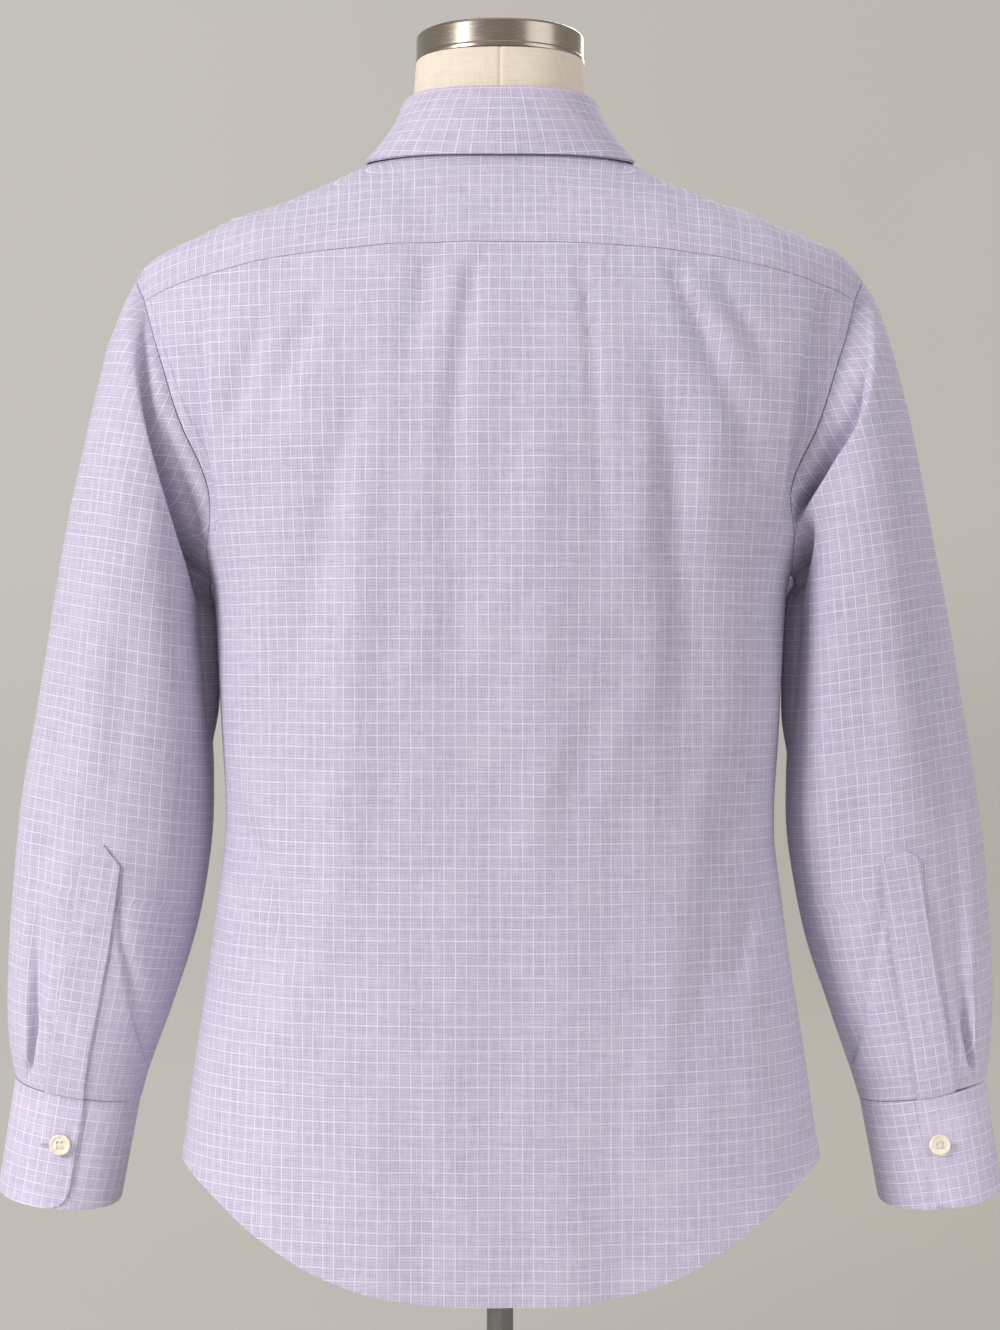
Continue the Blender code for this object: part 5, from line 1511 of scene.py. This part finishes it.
def make_stage():
    """A round floor that curves up into a wall all round, soft lights over it, and the camera behind."""
    sizes = bpy.context.scene.shirt_stage
    far, bend, top = sizes.cove_radius, 1.3, 3.6
    curve = np.linspace(0, math.pi / 2, 24)
    outline = np.concatenate([
        [(0.01, 0.0), (1.0, 0.0)],
        np.stack([far - bend + bend * np.sin(curve), bend - bend * np.cos(curve)], axis=1),
        [(far, top)],
    ])
    cove, number = turned("backdrop", outline, backdrop_paint_and_glow(), 96)
    close_ends(cove, number[0])
    cove.data.flip_normals()
    for name, place, power, size, tint in (
        ("key", (2.1, 1.7, 1.25), sizes.key_power, 0.8, (1.0, 0.985, 0.965)),
        ("fill", (-2.0, 1.3, 1.3), sizes.fill_power, 1.6, (0.97, 0.98, 1.0)),
        ("front_key", (-0.5, -2.4, 1.9), sizes.fill_power * 1.6, 1.3, (1.0, 0.985, 0.965)),
        ("cuff_left_light", (0.3, 2.4, 0.15), sizes.low_power, 0.3, (1.0, 0.985, 0.97)),
        ("cuff_right_light", (-0.3, 2.4, 0.15), sizes.low_power, 0.3, (1.0, 0.985, 0.97)),
        ("top", (0.2, 0.0, 3.2), sizes.top_power, 2.2, (1.0, 0.99, 0.98)),
    ):
        lamp = bpy.data.lights.new(name, "AREA")
        lamp.energy, lamp.size, lamp.color = power, size, tint
        on_cuff = name.startswith("cuff")
        lamp.spread = math.radians(CUFF_SPREAD if on_cuff else 180)
        light = bpy.data.objects.new(name, lamp)
        aim = np.array([place[0] * 1.05, 0.0, 0.17] if on_cuff else [0.0, 0.0, 0.62]) - np.array(place)
        light.location = place
        light.rotation_euler = (math.atan2(math.hypot(*aim[:2]), -aim[2]), 0, math.atan2(-aim[0], aim[1]))
        bpy.context.scene.collection.objects.link(light)
    world = bpy.data.worlds.new("soft_room")
    world.use_nodes = True
    sky = world.node_tree.nodes["Background"]
    sky.inputs["Color"].default_value = (1.0, 0.985, 0.97, 1.0)
    sky.inputs["Strength"].default_value = sizes.room_light
    bpy.context.scene.world = world
    lens = bpy.data.cameras.new("camera")
    lens.lens, lens.sensor_width, lens.sensor_fit = sizes.lens, 36.0, "AUTO"
    camera = bpy.data.objects.new("camera", lens)
    camera.location = (0.0, sizes.camera_distance, sizes.camera_height)
    camera.rotation_euler = (math.pi / 2, 0.0, math.pi)
    bpy.context.scene.collection.objects.link(camera)
    bpy.context.scene.camera = camera
    bpy.context.scene.view_settings.view_transform = "Standard"


# ---- The add-on ----
def colour(name, text, value):
    return bpy.props.FloatVectorProperty(
        name=name, description=text, default=value, size=3, subtype="COLOR", min=0, max=1)


def length(name, text, value):
    return bpy.props.FloatProperty(name=name, description=text, default=value, unit="LENGTH", precision=5)


def amount(name, text, value):
    return bpy.props.FloatProperty(name=name, description=text, default=value, min=0)


class ShirtCloth(bpy.types.PropertyGroup):
    """The shirting's check and colours."""

    pitch_across: length("Check width", "Distance between the check's upright lines", 0.0071)
    pitch_along: length("Check height", "Distance between the check's level lines", 0.0077)
    line_width: length("Line width", "Width of the check's light lines", 0.0007)
    ground: colour("Ground", "Main colour of the cloth", (0.500, 0.460, 0.622))
    shade: colour("Dark yarn", "Colour of the darker yarn", (0.38, 0.333, 0.488))
    blush: colour("Pink yarn", "Colour of the pinker patches", (0.57, 0.468, 0.598))
    light: colour("Light line", "Colour of the check's lines", (0.80, 0.765, 0.875))


class ShirtTrim(bpy.types.PropertyGroup):
    """The colours of the buttons and the dress form."""

    button: colour("Buttons", "Colour of the buttons", (0.80, 0.74, 0.62))
    linen: colour("Form linen", "Colour of the dress form's cover", (0.75, 0.665, 0.56))


class ShirtStage(bpy.types.PropertyGroup):
    """The camera, the lights and the cove."""

    lens: bpy.props.FloatProperty(
        name="Lens", description="Focal length of the camera", default=68.5, unit="CAMERA")
    camera_distance: length("Camera distance", "Distance of the camera behind the shirt", 1.72)
    camera_height: length("Camera height", "Height of the camera over the floor", RISE)
    cove_radius: length("Cove radius", "How far off the round wall stands", 3.6)
    key_power: amount("Key light", "Power of the main light, in watts", 60.0)
    fill_power: amount("Fill light", "Power of the softer light from the other side, in watts", 17.0)
    low_power: amount("Low light", "Power of each narrow light on the cuffs, in watts", 0.15)
    top_power: amount("Top light", "Power of the light overhead, in watts", 14.0)
    room_light: amount("Room light", "Strength of the even light from all round", 0.36)


def operator(name, label, text, work):
    """An operator that makes one group of pieces."""

    def execute(self, context):
        work()
        return {"FINISHED"}

    settings = {"bl_idname": "shirt." + name, "bl_label": label, "bl_options": {"REGISTER", "UNDO"}}
    return type("SHIRT_OT_" + name, (bpy.types.Operator,), {**settings, "__doc__": text, "execute": execute})


def make_fronts():
    for name, side in SIDES:
        make_front(f"shirt_front_{name}", f"front_{name}", side)


def make_sleeves():
    for name, side in SIDES:
        make_sleeve(f"shirt_sleeve_{name}", f"sleeve_{name}", side)


def make_cuffs():
    for name, side in SIDES:
        make_placket(f"shirt_placket_{name}", f"placket_{name}", side)
        make_cuff(f"shirt_cuff_{name}", f"cuff_{name}", side)


OPERATORS = (
    operator("back", "Back panel", "Make the shirt's back panel", make_back),
    operator("fronts", "Front panels", "Make the two lapping fronts", make_fronts),
    operator("yoke", "Yoke", "Make the yoke over the shoulders", make_yoke),
    operator("sleeves", "Sleeves", "Make both sleeves", make_sleeves),
    operator("cuffs", "Cuffs and plackets", "Make both cuffs and sleeve plackets", make_cuffs),
    operator("collar", "Collar", "Make the collar's stand and leaf", make_collar),
    operator("stitches", "Stitching", "Make every row of stitches", make_stitches),
    operator("buttons", "Buttons", "Make the buttons, their threads and the buttonholes", make_buttons),
    operator("form", "Dress form", "Make the linen-covered dress form", make_form),
    operator("stand", "Cap and stand", "Make the neck cap, the pole and the base", make_stand),
    operator("stage", "Stage", "Make the cove, the lights and the camera", make_stage),
)


class SHIRT_PT_panel(bpy.types.Panel):
    """Lists the sizes, the colours and the pieces."""

    bl_label = "Dress Shirt"
    bl_space_type, bl_region_type, bl_category = "VIEW_3D", "UI", "Dress Shirt"

    def draw(self, context):
        for settings in (context.scene.shirt_cloth, context.scene.shirt_trim, context.scene.shirt_stage):
            box = self.layout.box()
            for name in settings.__annotations__:
                box.prop(settings, name)
        for made in OPERATORS:
            self.layout.operator(made.bl_idname)


SETTINGS = {"shirt_cloth": ShirtCloth, "shirt_trim": ShirtTrim, "shirt_stage": ShirtStage}


def register():
    for made in (*SETTINGS.values(), *OPERATORS, SHIRT_PT_panel):
        bpy.utils.register_class(made)
    for name, made in SETTINGS.items():
        setattr(bpy.types.Scene, name, bpy.props.PointerProperty(type=made))


def unregister():
    for name in SETTINGS:
        delattr(bpy.types.Scene, name)
    for made in (SHIRT_PT_panel, *OPERATORS, *SETTINGS.values()):
        bpy.utils.unregister_class(made)


def main():
    register()
    make_groups()
    for made in OPERATORS:
        getattr(bpy.ops.shirt, made.bl_idname.split(".")[1])()
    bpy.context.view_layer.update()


if __name__ == "__main__":
    main()
